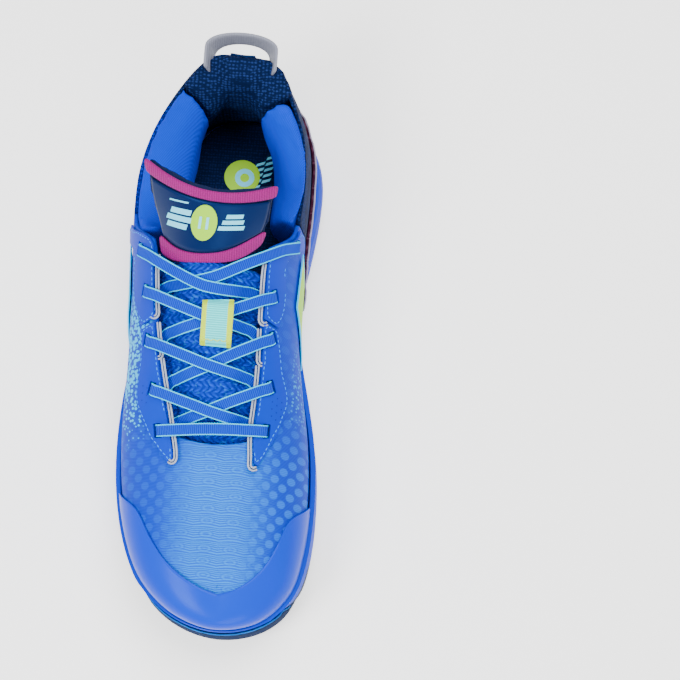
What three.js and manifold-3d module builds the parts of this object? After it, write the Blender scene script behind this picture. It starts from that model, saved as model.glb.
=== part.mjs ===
// Low-cut basketball shoe, right foot: sole unit, lasted upper, tongue and laces.
// Millimetres, +Z up, toe towards -Y, medial side towards +X, resting on Z = 0.
// The upper is laid on a last: sections[] describes that last, and every sheet of the upper
// is a panel between two heights on it, a stated distance inside or outside its surface.
import * as THREE from 'three';
import { mergeVertices } from 'three/addons/utils/BufferGeometryUtils.js';
import Module from 'manifold-3d';

const wasm = await Module();
wasm.setup();

// ---------------------------------------------------------------- driving dimensions
const shoeLength = 300;           // outsole, heel to toe
const forefootWidth = 113;        // outsole at the ball
const instepHeight = 130;         // ridge of the last above the ground at the ankle
const gap = 0.3;                  // clearance between pieces that touch

const outsoleThickness = 5;
const cupLip = 2.6;               // height of the outsole lip around the midsole
const lipThickness = 3;
const bumperHeight = 26;          // toe bumper above the ground
const footbedHeight = 24;         // midsole floor inside the rim
const rimHeight = 31;             // top of the midsole rim
const rimThickness = 2.6;
const toeSpring = 14;             // lift of the toe tip
const toeSpringStart = 215;       // where the sole starts to lift, from the heel
const boardThickness = 2;
const insoleThickness = 5;
const shankLength = 100;
const shankWidth = 30;
const shankThickness = 1.4;

const meshThickness = 2;          // knitted shell of the upper
const overlayThickness = 1.2;
const counterThickness = 1.7;
const liningThickness = 3;
const collarReveal = 6;           // padding above the shell's edge
const pipingRadius = 1.2;

const laceWidth = 6.3;
const laceThickness = 1.2;
const tonguePadThickness = 9;
const tongueThickness = 4.6;
const keeperWidth = 16;
const loopWidth = 10;
const loopThickness = 1.5;
const badgeRadius = 10;

const colours = {
  blue: 0x2a6ee6, deepBlue: 0x1f56c4, sky: 0x4c96f0, navy: 0x1c3269, lime: 0xc8fa3c,
  aqua: 0x82e6e1, magenta: 0xc83296, silver: 0xbebec3, plum: 0x32102a, laceBlue: 0x2f78f0,
};

// ---------------------------------------------------------------- the last
// One row per cross-section, from the back of the heel to the tip of the toe. Lengths are for
// the sample size and are graded to the driving dimensions.
const sample = { length: 300, width: 113, height: 130 };
const along = shoeLength / sample.length;
const across = forefootWidth / sample.width;
const upward = instepHeight / sample.height;

// feather = [s, x]: foot of the wall on each side; bulge and rise shape the wall above it;
// ridge = [x, s, z]: top line; reach and fall shape the crown; fan turns the section in plan.
const sections = [
  {
    lateral: [6, 0], medial: [6, 0], bulge: [7, 7], rise: 28,
    ridge: [0, 7, 128], reach: [8, 8], fall: 28, fan: -90,
  },
  {
    lateral: [12, -21], medial: [12, 23], bulge: [10, 9], rise: 30,
    ridge: [0, 15, 129], reach: [30, 26], fall: 20, fan: -50,
  },
  {
    lateral: [34, -34], medial: [34, 34], bulge: [20, 11], rise: 34,
    ridge: [-1, 36, 130], reach: [38, 33], fall: 8, fan: -15,
  },
  {
    lateral: [60, -35], medial: [60, 35], bulge: [36, 15], rise: 36,
    ridge: [-2, 56, 130], reach: [38, 34], fall: 0, fan: 0,
  },
  {
    lateral: [88, -34], medial: [88, 34], bulge: [41, 17], rise: 33,
    ridge: [-4.5, 80, 122], reach: [34, 33], fall: 0, fan: 0,
  },
  {
    lateral: [114, -36], medial: [114, 33], bulge: [37, 22], rise: 30,
    ridge: [-5.5, 104, 110], reach: [29, 27], fall: 0, fan: 0,
  },
  {
    lateral: [142, -41], medial: [142, 35], bulge: [26, 20], rise: 30,
    ridge: [-5, 128, 99.5], reach: [27, 26], fall: 0, fan: 0,
  },
  {
    lateral: [168, -46], medial: [168, 42], bulge: [15, 13], rise: 27,
    ridge: [-3, 152, 89], reach: [27, 27], fall: 0, fan: 0,
  },
  {
    lateral: [196, -47.5], medial: [196, 49], bulge: [11, 8], rise: 24,
    ridge: [-1, 178, 79], reach: [29, 29], fall: 0, fan: 0,
  },
  {
    lateral: [224, -45.5], medial: [224, 51.5], bulge: [9, 7], rise: 22,
    ridge: [2, 204, 69], reach: [30, 30], fall: 0, fan: 0,
  },
  {
    lateral: [250, -39], medial: [252, 50.5], bulge: [9, 7], rise: 21,
    ridge: [5, 229, 62], reach: [29, 29], fall: 0, fan: 16,
  },
  {
    lateral: [271, -28.5], medial: [273, 45.5], bulge: [9, 8], rise: 20,
    ridge: [8, 249, 58.5], reach: [27, 27], fall: 0, fan: 38,
  },
  {
    lateral: [286, -11], medial: [287, 32.5], bulge: [9, 9], rise: 19,
    ridge: [10.5, 263, 56], reach: [24, 24], fall: 0, fan: 66,
  },
  {
    lateral: [292, 11], medial: [292, 11], bulge: [9, 9], rise: 19,
    ridge: [11, 272, 54.5], reach: [20, 20], fall: 1, fan: 90,
  },
];
const lastSection = sections.length - 1;
const turns = 2 * lastSection;
const featherHeight = 24.9;

const point = (x, s, z) => new THREE.Vector3(x, -s, z);
const mix = (a, b, t) => a + (b - a) * t;
const clamp = (v, low, high) => Math.min(high, Math.max(low, v));
const smooth = (a, b, v) => {
  const t = clamp((v - a) / (b - a), 0, 1);
  return t * t * (3 - 2 * t);
};
const toeLift = (s) => {
  const beyond = Math.max(0, s / along - toeSpringStart);
  return toeSpring * (beyond / (sample.length - toeSpringStart)) ** 2;
};

// Value at v on a list of [v, value] stops, on a smooth curve through them.
function profile(stops, v) {
  const last = stops.length - 1;
  if (v <= stops[0][0]) return stops[0][1];
  if (v >= stops[last][0]) return stops[last][1];
  const slope = (i) => (i === 0 || i === last ? 0
    : (stops[i + 1][1] - stops[i - 1][1]) / (stops[i + 1][0] - stops[i - 1][0]));
  const i = stops.findIndex((stop) => v < stop[0]) - 1;
  const span = stops[i + 1][0] - stops[i][0];
  const t = (v - stops[i][0]) / span;
  const [t2, t3] = [t * t, t * t * t];
  return stops[i][1] * (2 * t3 - 3 * t2 + 1) + stops[i + 1][1] * (3 * t2 - 2 * t3)
    + span * (slope(i) * (t3 - 2 * t2 + t) + slope(i + 1) * (t3 - t2));
}

function rails(side, hand) {
  return sections.map((row) => {
    const [s, x] = row[side];
    const angle = THREE.MathUtils.degToRad(row.fan);
    const out = point(hand * Math.cos(angle), Math.sin(angle), 0);
    const foot = point(x * across, s * along, featherHeight + toeLift(s * along));
    const top = point(row.ridge[0] * across, row.ridge[1] * along, row.ridge[2] * upward);
    const reach = row.reach[side === 'lateral' ? 0 : 1] * across;
    const bulge = row.bulge[side === 'lateral' ? 0 : 1] * across;
    const wall = foot.clone().addScaledVector(out, bulge);
    const crown = top.clone().addScaledVector(out, reach);
    wall.z += row.rise * upward;
    crown.z -= row.fall * upward;
    return [foot, wall, crown, top];
  });
}

const medialRails = rails('medial', 1);
const lateralRails = rails('lateral', -1);
const railCurves = [0, 1, 2, 3].map((which) => {
  const loop = medialRails.map((row) => row[which]);
  for (let k = lastSection - 1; k > 0; k--) loop.push(lateralRails[k][which]);
  return new THREE.CatmullRomCurve3(loop, true, 'centripetal');
});

// p runs along the shoe: 0 at the heel, +-13 at the toe, medial side positive, lateral negative.
const railCache = new Map();
function railPoints(p) {
  const key = p.toFixed(6);
  if (!railCache.has(key)) {
    const turn = ((p % turns) + turns) % turns;
    const ridgeTurn = turn > lastSection ? turns - turn : turn;
    const points = railCurves.map((curve, i) => curve.getPoint((i === 3 ? ridgeTurn : turn) / turns));
    railCache.set(key, points);
  }
  return railCache.get(key);
}

function onLast(p, t) {
  const [a, b, c, d] = railPoints(p);
  const u = 1 - t;
  return new THREE.Vector3()
    .addScaledVector(a, u * u * u).addScaledVector(b, 3 * u * u * t)
    .addScaledVector(c, 3 * u * t * t).addScaledVector(d, t * t * t);
}

function sideNormal(p, t) {
  const upStep = onLast(p, t + 0.01).sub(onLast(p, t - 0.01));
  const alongStep = onLast(p + 0.02, t).sub(onLast(p - 0.02, t));
  return upStep.cross(alongStep).normalize();
}

function normalAt(p, t) {
  const edge = 0.975;
  if (t < edge) return sideNormal(p, t);
  const here = sideNormal(p, edge);
  const both = here.clone().add(sideNormal(-p, edge)).normalize();
  return here.lerp(both, clamp((t - edge) / (1 - edge), 0, 1)).normalize();
}

// A place on the last, d outside (+) or inside (-) its surface.
const skin = (p, t, d) => onLast(p, t).addScaledVector(normalAt(p, t), d);

function solve(low, high, value, target) {
  for (let i = 0; i < 34; i++) {
    const mid = (low + high) / 2;
    if (value(mid) < target) low = mid;
    else high = mid;
  }
  return (low + high) / 2;
}

const atHeight = (p, z) => solve(0, 1, (t) => onLast(p, t).z, z);

// t that lies a distance down the wall from t0 (up it when negative).
function downFrom(p, t0, distance) {
  const step = distance < 0 ? 0.004 : -0.004;
  let t = t0;
  let left = Math.abs(distance);
  let here = onLast(p, t);
  while (left > 0 && t > 0 && t < 1) {
    const next = onLast(p, clamp(t + step, 0, 1));
    const length = next.distanceTo(here);
    if (length >= left) return t + step * left / length;
    left -= length;
    t = clamp(t + step, 0, 1);
    here = next;
  }
  return clamp(t, 0, 1);
}

// The place on the crown of the last above plan position (x, s).
function crownAt(x, s, d) {
  const hand = x >= ridgeX(s) ? 1 : -1;
  const tAt = (p) => solve(0.35, 1, (t) => -hand * (onLast(p, t).x - x), 0);
  const p = hand * solve(2.2, 12.8, (q) => -onLast(hand * q, tAt(hand * q)).y, s);
  return skin(p, tAt(p), d);
}

const ridgeX = (s) => profile(sections.map((row) => [row.ridge[1] * along, row.ridge[0] * across]), s);

// ---------------------------------------------------------------- solids
function toGeometry(triangles) {
  const positions = new Float32Array(triangles.length * 9);
  triangles.forEach((corners, i) => corners.forEach((v, j) => v.toArray(positions, i * 9 + j * 3)));
  const loose = new THREE.BufferGeometry();
  loose.setAttribute('position', new THREE.BufferAttribute(positions, 3));
  const merged = mergeVertices(loose, 2e-3);
  const index = merged.index.array;
  const at = (i) => new THREE.Vector3().fromBufferAttribute(merged.attributes.position, i);
  const kept = [];
  let volume = 0;
  for (let i = 0; i < index.length; i += 3) {
    const [a, b, c] = [index[i], index[i + 1], index[i + 2]];
    if (a === b || b === c || a === c) continue;
    kept.push(a, b, c);
    volume += at(a).dot(at(b).cross(at(c)));
  }
  if (volume < 0) {
    for (let i = 0; i < kept.length; i += 3) [kept[i + 1], kept[i + 2]] = [kept[i + 2], kept[i + 1]];
  }
  merged.setIndex(kept);
  return merged;
}

// Sheet between two faces of a grid. glued(i) says that column step i closes on itself at the top.
function gridSolid(outer, inner, glued = () => false) {
  const triangles = [];
  const quad = (a, b, c, d) => triangles.push([a, b, c], [a, c, d]);
  const columns = outer.length - 1;
  const rows = outer[0].length - 1;
  for (let i = 0; i < columns; i++) {
    for (let j = 0; j < rows; j++) {
      quad(outer[i][j], outer[i + 1][j], outer[i + 1][j + 1], outer[i][j + 1]);
      quad(inner[i][j], inner[i][j + 1], inner[i + 1][j + 1], inner[i + 1][j]);
    }
    quad(outer[i][0], inner[i][0], inner[i + 1][0], outer[i + 1][0]);
    if (!glued(i)) quad(outer[i][rows], outer[i + 1][rows], inner[i + 1][rows], inner[i][rows]);
  }
  for (let j = 0; j < rows; j++) {
    quad(outer[0][j], outer[0][j + 1], inner[0][j + 1], inner[0][j]);
    quad(outer[columns][j], inner[columns][j], inner[columns][j + 1], outer[columns][j + 1]);
  }
  return toGeometry(triangles);
}

// Panel of the upper from p = from to p = to, between the heights low(p) and high(p).
function panel({ from, to, columns, rows, low, high, outer, inner, ridge = () => false }) {
  const depth = (d, p, v, u) => (typeof d === 'function' ? d(p, v, u) : d);
  const face = (d) => Array.from({ length: columns + 1 }, (_, i) => {
    const u = i / columns;
    const p = mix(from, to, u);
    return Array.from({ length: rows + 1 }, (_, j) => {
      const v = j / rows;
      return skin(p, mix(low(p), high(p), v), depth(d, p, v, u));
    });
  });
  const glued = (i) => ridge(mix(from, to, i / columns)) && ridge(mix(from, to, (i + 1) / columns));
  return gridSolid(face(outer), face(inner), glued);
}

// Solid through closed rings of points, closed at both ends by rungs across the ring.
function ringSolid(rings) {
  const triangles = [];
  const quad = (a, b, c, d) => triangles.push([a, b, c], [a, c, d]);
  const count = rings[0].length;
  for (let r = 0; r < rings.length - 1; r++) {
    for (let i = 0; i < count; i++) {
      const next = (i + 1) % count;
      quad(rings[r][i], rings[r][next], rings[r + 1][next], rings[r + 1][i]);
    }
  }
  const cap = (ring, flip) => {
    for (let i = 0; i < count / 2; i++) {
      const corners = [ring[i], ring[i + 1], ring[(count - i - 1) % count], ring[(count - i) % count]];
      if (flip) corners.reverse();
      quad(...corners);
    }
  };
  cap(rings[0], true);
  cap(rings[rings.length - 1], false);
  return toGeometry(triangles);
}

// Flat band of constant width and thickness through frames { at, side }.
function ribbon(frames, width, thickness) {
  const triangles = [];
  const quad = (a, b, c, d) => triangles.push([a, b, c], [a, c, d]);
  const loops = frames.map((frame, i) => {
    const before = frames[Math.max(0, i - 1)].at;
    const after = frames[Math.min(frames.length - 1, i + 1)].at;
    const tangent = after.clone().sub(before).normalize();
    const side = frame.side.clone().addScaledVector(tangent, -frame.side.dot(tangent)).normalize();
    const normal = side.clone().cross(tangent);
    return [[1, 1], [-1, 1], [-1, -1], [1, -1]].map(([a, b]) => frame.at.clone()
      .addScaledVector(side, a * width / 2).addScaledVector(normal, b * thickness / 2));
  });
  for (let i = 0; i < loops.length - 1; i++) {
    for (let k = 0; k < 4; k++) {
      const n = (k + 1) % 4;
      quad(loops[i][k], loops[i][n], loops[i + 1][n], loops[i + 1][k]);
    }
  }
  quad(...loops[0].slice().reverse());
  quad(...loops[loops.length - 1]);
  return toGeometry(triangles);
}

function tube(points, radius, sides, steps) {
  const outline = new THREE.Shape();
  outline.absarc(0, 0, radius, 0, 2 * Math.PI, false);
  const path = new THREE.CatmullRomCurve3(points, false, 'centripetal');
  const geometry = new THREE.ExtrudeGeometry(outline, {
    steps, curveSegments: sides, extrudePath: path, bevelEnabled: false,
  });
  geometry.deleteAttribute('normal');
  geometry.deleteAttribute('uv');
  return toGeometry(trianglesOf(geometry));
}

function trianglesOf(geometry) {
  const flat = geometry.index ? geometry.toNonIndexed() : geometry;
  const at = (i) => new THREE.Vector3().fromBufferAttribute(flat.attributes.position, i);
  const count = flat.attributes.position.count / 3;
  return Array.from({ length: count }, (_, i) => [at(3 * i), at(3 * i + 1), at(3 * i + 2)]);
}

function toManifold(geometry) {
  return new wasm.Manifold(new wasm.Mesh({
    numProp: 3,
    vertProperties: new Float32Array(geometry.attributes.position.array),
    triVerts: new Uint32Array(geometry.index.array),
  }));
}

function cut(geometry, cutters) {
  let solid = toManifold(geometry);
  for (const cutter of cutters) solid = solid.subtract(toManifold(cutter));
  const mesh = solid.getMesh();
  const result = new THREE.BufferGeometry();
  result.setAttribute('position', new THREE.BufferAttribute(new Float32Array(mesh.vertProperties), 3));
  result.setIndex(new THREE.BufferAttribute(new Uint32Array(mesh.triVerts), 1));
  return toGeometry(trianglesOf(result));
}

// Box with its own axes, closed, for slots and recesses.
function orientedBox(centre, axes, sizes) {
  const box = mergeVertices(stripped(new THREE.BoxGeometry(...sizes)));
  const basis = new THREE.Matrix4().makeBasis(...axes).setPosition(centre);
  return box.applyMatrix4(basis);
}

function stripped(geometry) {
  geometry.deleteAttribute('normal');
  geometry.deleteAttribute('uv');
  return geometry;
}

// ---------------------------------------------------------------- assembly
const shoe = new THREE.Group();

function add(name, geometry, colour, roughness = 0.8) {
  const material = new THREE.MeshStandardMaterial({ color: colour, roughness, metalness: 0 });
  const mesh = new THREE.Mesh(geometry, material);
  mesh.name = name;
  shoe.add(mesh);
}

// ---------------------------------------------------------------- sole unit
const soleSamples = 64;
const soleMargins = {
  lateral: [[0, 6.5], [3, 7.5], [6, 5.5], [9, 5], [11, 6.5], [13, 8]],
  medial: [
    [0, 6.5], [1, 8], [2, 10.5], [3, 10.5], [4, 8.5], [5, 5.5], [6, 4], [8, 5], [11, 6.5], [13, 8],
  ],
};
const soleMargin = (p) => profile(soleMargins[p < 0 ? 'lateral' : 'medial'], Math.abs(p)) * across;
const sampleP = (i) => {
  const turn = i * turns / soleSamples;
  return turn <= lastSection ? turn : turn - turns;
};
const toePart = (p) => smooth(10.9, 11.5, Math.abs(p));

// A place beside the feather line: out from it in plan, at a height above the ground plus toe lift.
function beside(p, out, z) {
  const foot = railPoints(p)[0];
  const tangent = railPoints(p + 0.02)[0].clone().sub(railPoints(p - 0.02)[0]);
  const side = new THREE.Vector3(-tangent.y, tangent.x, 0).normalize();
  const at = foot.clone().addScaledVector(side, out);
  at.z = z + toeLift(-at.y);
  return at;
}

const ring = (place) => Array.from({ length: soleSamples }, (_, i) => place(sampleP(i)));

const lipTop = (p) => mix(outsoleThickness + cupLip, bumperHeight, toePart(p));
const lipOut = (p) => soleMargin(p) - mix(2, 0, toePart(p));

function outsole() {
  const lipInner = (p) => lipOut(p) - lipThickness - mix(0, 1.2, toePart(p));
  return ringSolid([
    ring((p) => beside(p, soleMargin(p) - 4.5, 0)),
    ring((p) => beside(p, lipOut(p) - 0.8, 2)),
    ring((p) => beside(p, lipOut(p), mix(outsoleThickness, 0.5 * bumperHeight, toePart(p)))),
    ring((p) => beside(p, lipOut(p) - mix(0, 1.6, toePart(p)), lipTop(p))),
    ring((p) => beside(p, lipInner(p), lipTop(p))),
    ring((p) => beside(p, lipOut(p) - lipThickness - 0.2, outsoleThickness)),
  ]);
}

const wallClearance = 0.7;         // between the midsole rim and the upper

function midsole() {
  const inLip = (p) => lipOut(p) - lipThickness - mix(0, 1.2, toePart(p)) - 2 * gap;
  const inFloor = (p) => lipOut(p) - lipThickness - 0.2 - gap;
  const level = (p, share) => mix(lipTop(p) + gap, rimHeight, share);
  const wall = (p, z, d) => skin(p, atHeight(p, z + toeLift(-onLast(p, 0).y)), d);
  const blank = ringSolid([
    ring((p) => beside(p, inFloor(p), outsoleThickness + gap)),
    ring((p) => beside(p, inLip(p), lipTop(p))),
    ring((p) => beside(p, mix(soleMargin(p) - 1, inLip(p) + 1.8, toePart(p)), level(p, 0.04))),
    ring((p) => beside(p, mix(soleMargin(p), inLip(p) + 2, toePart(p)), level(p, 0.35))),
    ring((p) => beside(p, mix(soleMargin(p) - 1, inLip(p) + 1.8, toePart(p)), level(p, 0.75))),
    ring((p) => wall(p, rimHeight, wallClearance + rimThickness)),
    ring((p) => wall(p, rimHeight, wallClearance)),
    ring((p) => wall(p, mix(featherHeight, rimHeight, 0.4), wallClearance)),
    ring((p) => beside(p, wallClearance, footbedHeight)),
  ]);
  const pocketDepth = 2 * (shankThickness + gap);
  const pocket = new THREE.BoxGeometry(shankWidth + 2 * gap, shankLength + 2 * gap, pocketDepth);
  return cut(blank, [orientedBoxAt(pocket, shankCentre(footbedHeight))]);
}

const shankCentre = (z) => point(-1, 125 * along, z);
const orientedBoxAt = (box, centre) => mergeVertices(stripped(box)).translate(...centre.toArray());

function shankPlate() {
  const plate = new THREE.BoxGeometry(shankWidth, shankLength, shankThickness);
  return orientedBoxAt(plate, shankCentre(footbedHeight - gap / 2 - shankThickness / 2));
}

const insideShell = -(meshThickness + 0.9);
const boardTop = footbedHeight + gap + boardThickness;
const insoleBottom = boardTop + gap;
const insoleTop = insoleBottom + insoleThickness;

function strobelBoard() {
  return ringSolid([
    ring((p) => beside(p, insideShell, footbedHeight + gap)),
    ring((p) => beside(p, insideShell, boardTop)),
  ]);
}

function insole() {
  const cup = (p) => profile([[0, 1], [3, 1], [7, 0]], Math.abs(p));
  return ringSolid([
    ring((p) => beside(p, insideShell - 0.3, insoleBottom)),
    ring((p) => beside(p, insideShell - 0.3 - cup(p), insoleTop - 0.8)),
    ring((p) => beside(p, insideShell - 2.5 - cup(p), insoleTop)),
  ]);
}

function insoleBadge() {
  const disc = stripped(new THREE.CylinderGeometry(badgeRadius, badgeRadius, 0.4, 32));
  disc.rotateX(Math.PI / 2);
  return mergeVertices(disc).translate(...point(0, 44 * along, insoleTop + gap + 0.2).toArray());
}

add('outsole', outsole(), colours.navy, 0.7);
add('midsole', midsole(), colours.deepBlue, 0.6);
add('shank_plate', shankPlate(), colours.navy, 0.5);
add('strobel_board', strobelBoard(), colours.silver, 0.9);
add('insole', insole(), colours.navy, 0.9);
add('insole_badge', insoleBadge(), colours.lime, 0.7);

// ---------------------------------------------------------------- edges of the upper
const hand = { lateral: -1, medial: 1 };
const other = { lateral: 'medial', medial: 'lateral' };
const sides = ['lateral', 'medial'];
const throatCentre = (s) => across
  * profile([[100, -6], [123, -5.5], [146, -4.3], [176, -1], [200, 1.3], [215, 3.4]], s / along);
const throatHalf = (s) => across
  * profile([[100, 28.5], [123, 28.2], [160, 26.3], [186, 23.1], [200, 20.8], [215, 20]], s / along);
const throatEnd = 8.92;           // p where the throat closes over the vamp

// Height on the last of the throat line at p; it runs on past the throat to the eyestay tips.
function throatLine(p) {
  const clear = (t) => {
    const at = onLast(p, t);
    return throatHalf(-at.y) - Math.abs(at.x - throatCentre(-at.y));
  };
  return solve(0.3, 1, clear, 0);
}

const collarLine = [[0, 97], [0.7, 96], [1.4, 92], [2.2, 84], [3, 77.5], [3.8, 75], [4.5, 77], [5.2, 86]];
const collarHeight = (p) => profile(collarLine, Math.abs(p)) * upward;
const collarFront = 4.3;
const throatTop = 5.2;

function upperEdge(p) {
  const a = Math.abs(p);
  if (a <= collarFront) return atHeight(p, collarHeight(p));
  if (a >= throatTop) return throatLine(p);
  return mix(atHeight(p, collarHeight(p)), throatLine(p), smooth(collarFront, throatTop, a));
}

const waist = 4.02;               // p of the seam between the mesh and the rear quarters
const seamHalf = 0.015;
const wrap = (q) => (q > lastSection ? q - turns : q);
const onRidge = (q) => Math.abs(wrap(q)) > throatEnd;

// ---------------------------------------------------------------- eyelets and lace
const eyeletPlaces = {
  medial: [8.5, 7.62, 6.65, 5.8, 4.5],
  lateral: [8.65, 7.84, 6.86, 5.88, 5.0],
};
const eyeletInset = {              // down the wall from the edge, by row
  medial: [7, 6.8, 6.8, 7, 6.5],
  lateral: [7, 6.8, 6.8, 7, 12.5],
};
const strandBow = [0, 1.5, 3, 4.5, 11.5];           // sag of a strand towards the toe, by its upper row
const topRow = strandBow.length - 1;
const laceGap = 0.4;
const aboveOverlay = gap + overlayThickness + 1.6 * laceGap + laceThickness / 2;
const underShell = -(meshThickness + 2 * laceGap + laceThickness / 2);

function eyelet(side, row) {
  const p = hand[side] * eyeletPlaces[side][row];
  const t = downFrom(p, upperEdge(p), eyeletInset[side][row]);
  return { p, t, at: onLast(p, t), normal: normalAt(p, t) };
}

// Axes of the hole: inward points along the strand that ends in it, back over the edge.
function eyeletAxes(side, row) {
  const { p, t, at, normal } = eyelet(side, row);
  const [x, s] = strandPlace(eyelet(other[side], Math.max(0, row - 1)), { at }, 0.8, strandBow[row]);
  const inward = crownAt(x, s, 0).sub(at);
  inward.addScaledVector(normal, -inward.dot(normal)).normalize();
  return { p, t, at, normal, inward, crosswise: normal.clone().cross(inward).normalize() };
}

const holes = Object.fromEntries(
  sides.map((side) => [side, strandBow.map((_, row) => eyeletAxes(side, row))]),
);
const slotLength = 4.2;
const slotCutter = (hole) => orientedBox(
  hole.at.clone().addScaledVector(hole.inward, -0.2),
  [hole.inward, hole.crosswise, hole.normal],
  [slotLength, laceWidth + 1, 8],
);
const allSlots = sides.flatMap((side) => holes[side].map(slotCutter));

// Down through a hole, as [outward, height] pairs: back under the edge, or on down the inside.
const turnBack = [
  [-3.2, aboveOverlay], [-1.3, aboveOverlay - 0.05], [0.4, 1.5], [0.9, -0.2], [0.3, -2.2],
  [-1.5, underShell], [-3.8, underShell],
];
const turnIn = [
  [-3.2, aboveOverlay], [-1.5, aboveOverlay - 0.05], [-0.3, 1.3], [0, -0.4], [0.2, -2.3], [2, -3.9],
  [6, underShell - 0.4],
];

const through = (hole, turn) => turn.map(([out, height]) => ({
  at: hole.at.clone().addScaledVector(hole.inward, -out).addScaledVector(hole.normal, height),
  side: hole.crosswise.clone(),
}));

// Heights of a strand at shares of its way from one eyelet to the next, over or under the
// strand it crosses.
const strandHeights = {
  over: [
    [0.15, underShell], [0.2, -2.7], [0.27, -0.5], [0.35, 1.5], [0.43, 2.2], [0.6, 2.2],
    [0.8, aboveOverlay],
  ],
  under: [
    [0.15, underShell], [0.2, -2.7], [0.28, -0.8], [0.36, 0.4], [0.5, 0.5], [0.6, 0.5], [0.7, 1.5],
    [0.8, aboveOverlay],
  ],
  bar: [
    [0.07, aboveOverlay], [0.12, 3.6], [0.22, 3.4], [0.34, 2.3], [0.66, 2.3], [0.78, 3.4], [0.88, 3.6],
    [0.93, aboveOverlay],
  ],
};
const strandSteps = 13;

// Plan position [x, s] of a strand at a share of its way.
function strandPlace(from, to, share, bow) {
  const sag = bow * (1 - Math.abs(2 * share - 1) ** 1.6);
  return [mix(from.at.x, to.at.x, share), -mix(from.at.y, to.at.y, share) + sag * along];
}

function strand(from, to, kind, bow) {
  const [start, end] = kind === 'bar' ? [0.07, 0.93] : [0.13, 0.91];
  const at = (share, lift) => {
    const height = profile(strandHeights[kind], share) + lift;
    return crownAt(...strandPlace(from, to, share, bow), height);
  };
  const step = 0.02;
  return Array.from({ length: strandSteps + 1 }, (_, i) => {
    const share = mix(start, end, i / strandSteps);
    const here = at(share, 0);
    const tangent = at(share + step, 0).sub(at(share - step, 0));
    return { at: here, side: tangent.cross(at(share, 1).sub(here)).normalize() };
  });
}

// Free ends: down the inside of the wall, then forward on the insole.
const innerWall = [[72, 1.8], [62, 2.1], [52, 2.4], [44, 3]];    // [height, further inside the shell]
const insoleRoutes = {
  lateral: [
    [-27, 121], [-20, 127], [-14, 138], [-12, 155], [-13, 175], [-14, 195], [-14, 215], [-13, 232],
    [-12, 246],
  ],
  medial: [
    [22, 118], [18, 125], [14, 136], [13, 155], [14, 175], [16, 195], [17, 215], [17, 232], [17, 246],
  ],
};
const onInsole = (x, s, height) => point(x * across, s * along, insoleTop + toeLift(s * along) + height);

function freeEnd(side) {
  const hole = holes[side][topRow];
  const wall = innerWall.map(([z, d]) => skin(hole.p, atHeight(hole.p, z * upward), underShell - d));
  const floor = insoleRoutes[side].map(([x, s]) => onInsole(x, s, gap + laceThickness / 2));
  const places = [...wall, ...floor];
  return places.map((at, i) => {
    if (i < wall.length) return { at, side: hole.crosswise.clone() };
    const next = places[Math.min(i + 1, places.length - 1)];
    const tangent = next.clone().sub(places[i - 1]);
    const level = new THREE.Vector3(-tangent.y, tangent.x, 0).normalize();
    return { at, side: level.multiplyScalar(Math.sign(level.dot(hole.crosswise)) || 1) };
  });
}

// One lace from the lateral free end down through the rows, across the bar and up again.
function laceFrames() {
  const frames = [];
  const addAligned = (more) => more.forEach((frame) => {
    const last = frames[frames.length - 1];
    if (last && last.side.dot(frame.side) < 0) frame.side.negate();
    frames.push(frame);
  });
  const down = (side, row) => through(holes[side][row], turnBack);
  addAligned(freeEnd('lateral').reverse());
  addAligned(through(holes.lateral[topRow], turnIn).reverse());
  let side = 'lateral';
  for (let row = topRow; row > 0; row--) {
    const kind = side === 'lateral' ? 'over' : 'under';
    addAligned(strand(holes[other[side]][row - 1], holes[side][row], kind, strandBow[row]).reverse());
    side = other[side];
    addAligned(down(side, row - 1).reverse());
  }
  addAligned(strand(holes[side][0], holes[other[side]][0], 'bar', strandBow[0]));
  side = other[side];
  addAligned(down(side, 0));
  for (let row = 1; row <= topRow; row++) {
    const kind = other[side] === 'lateral' ? 'over' : 'under';
    addAligned(strand(holes[side][row - 1], holes[other[side]][row], kind, strandBow[row]));
    side = other[side];
    addAligned(row < topRow ? down(side, row) : through(holes[side][row], turnIn));
  }
  addAligned(freeEnd(side));
  return frames;
}

const aglet = { length: 14, radius: 1.9 };

function agletAt(side) {
  const route = insoleRoutes[side];
  const [x, s] = route[route.length - 1];
  const [x0, s0] = route[route.length - 2];
  const end = onInsole(x, s, 3 * gap + aglet.radius);
  const direction = end.clone().sub(onInsole(x0, s0, 3 * gap + aglet.radius)).normalize();
  const body = stripped(new THREE.CylinderGeometry(aglet.radius, aglet.radius, aglet.length, 12));
  const turn = new THREE.Quaternion().setFromUnitVectors(new THREE.Vector3(0, 1, 0), direction);
  const centre = end.clone().addScaledVector(direction, aglet.length / 2 + gap);
  return mergeVertices(body).applyQuaternion(turn).translate(...centre.toArray());
}

add('lace', ribbon(laceFrames(), laceWidth, laceThickness), colours.laceBlue, 0.9);
for (const side of sides) add(`aglet_${side}`, agletAt(side), colours.silver, 0.4);

// ---------------------------------------------------------------- upper
// Rows run up to the throat line and, past the end of the throat, on to the ridge.
function upperMesh() {
  const [columns, lower, upper] = [60, 6, 2];
  const face = (d) => Array.from({ length: columns + 1 }, (_, i) => {
    const q = mix(waist + seamHalf, turns - waist - seamHalf, i / columns);
    const p = wrap(q);
    const line = Math.abs(p) > throatTop ? throatLine(p) : upperEdge(p);
    const top = onRidge(q) ? 1 : line;
    const heights = Array.from({ length: lower + 1 }, (__, j) => line * j / lower);
    for (let j = 1; j <= upper; j++) heights.push(mix(line, top, j / upper));
    return heights.map((height) => skin(p, height, d));
  });
  const q = (i) => mix(waist + seamHalf, turns - waist - seamHalf, i / columns);
  const closed = (i) => onRidge(q(i)) && onRidge(q(i + 1));
  return cut(gridSolid(face(0), face(-meshThickness), closed), allSlots);
}

add('upper_mesh', upperMesh(), colours.sky, 0.85);

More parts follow.
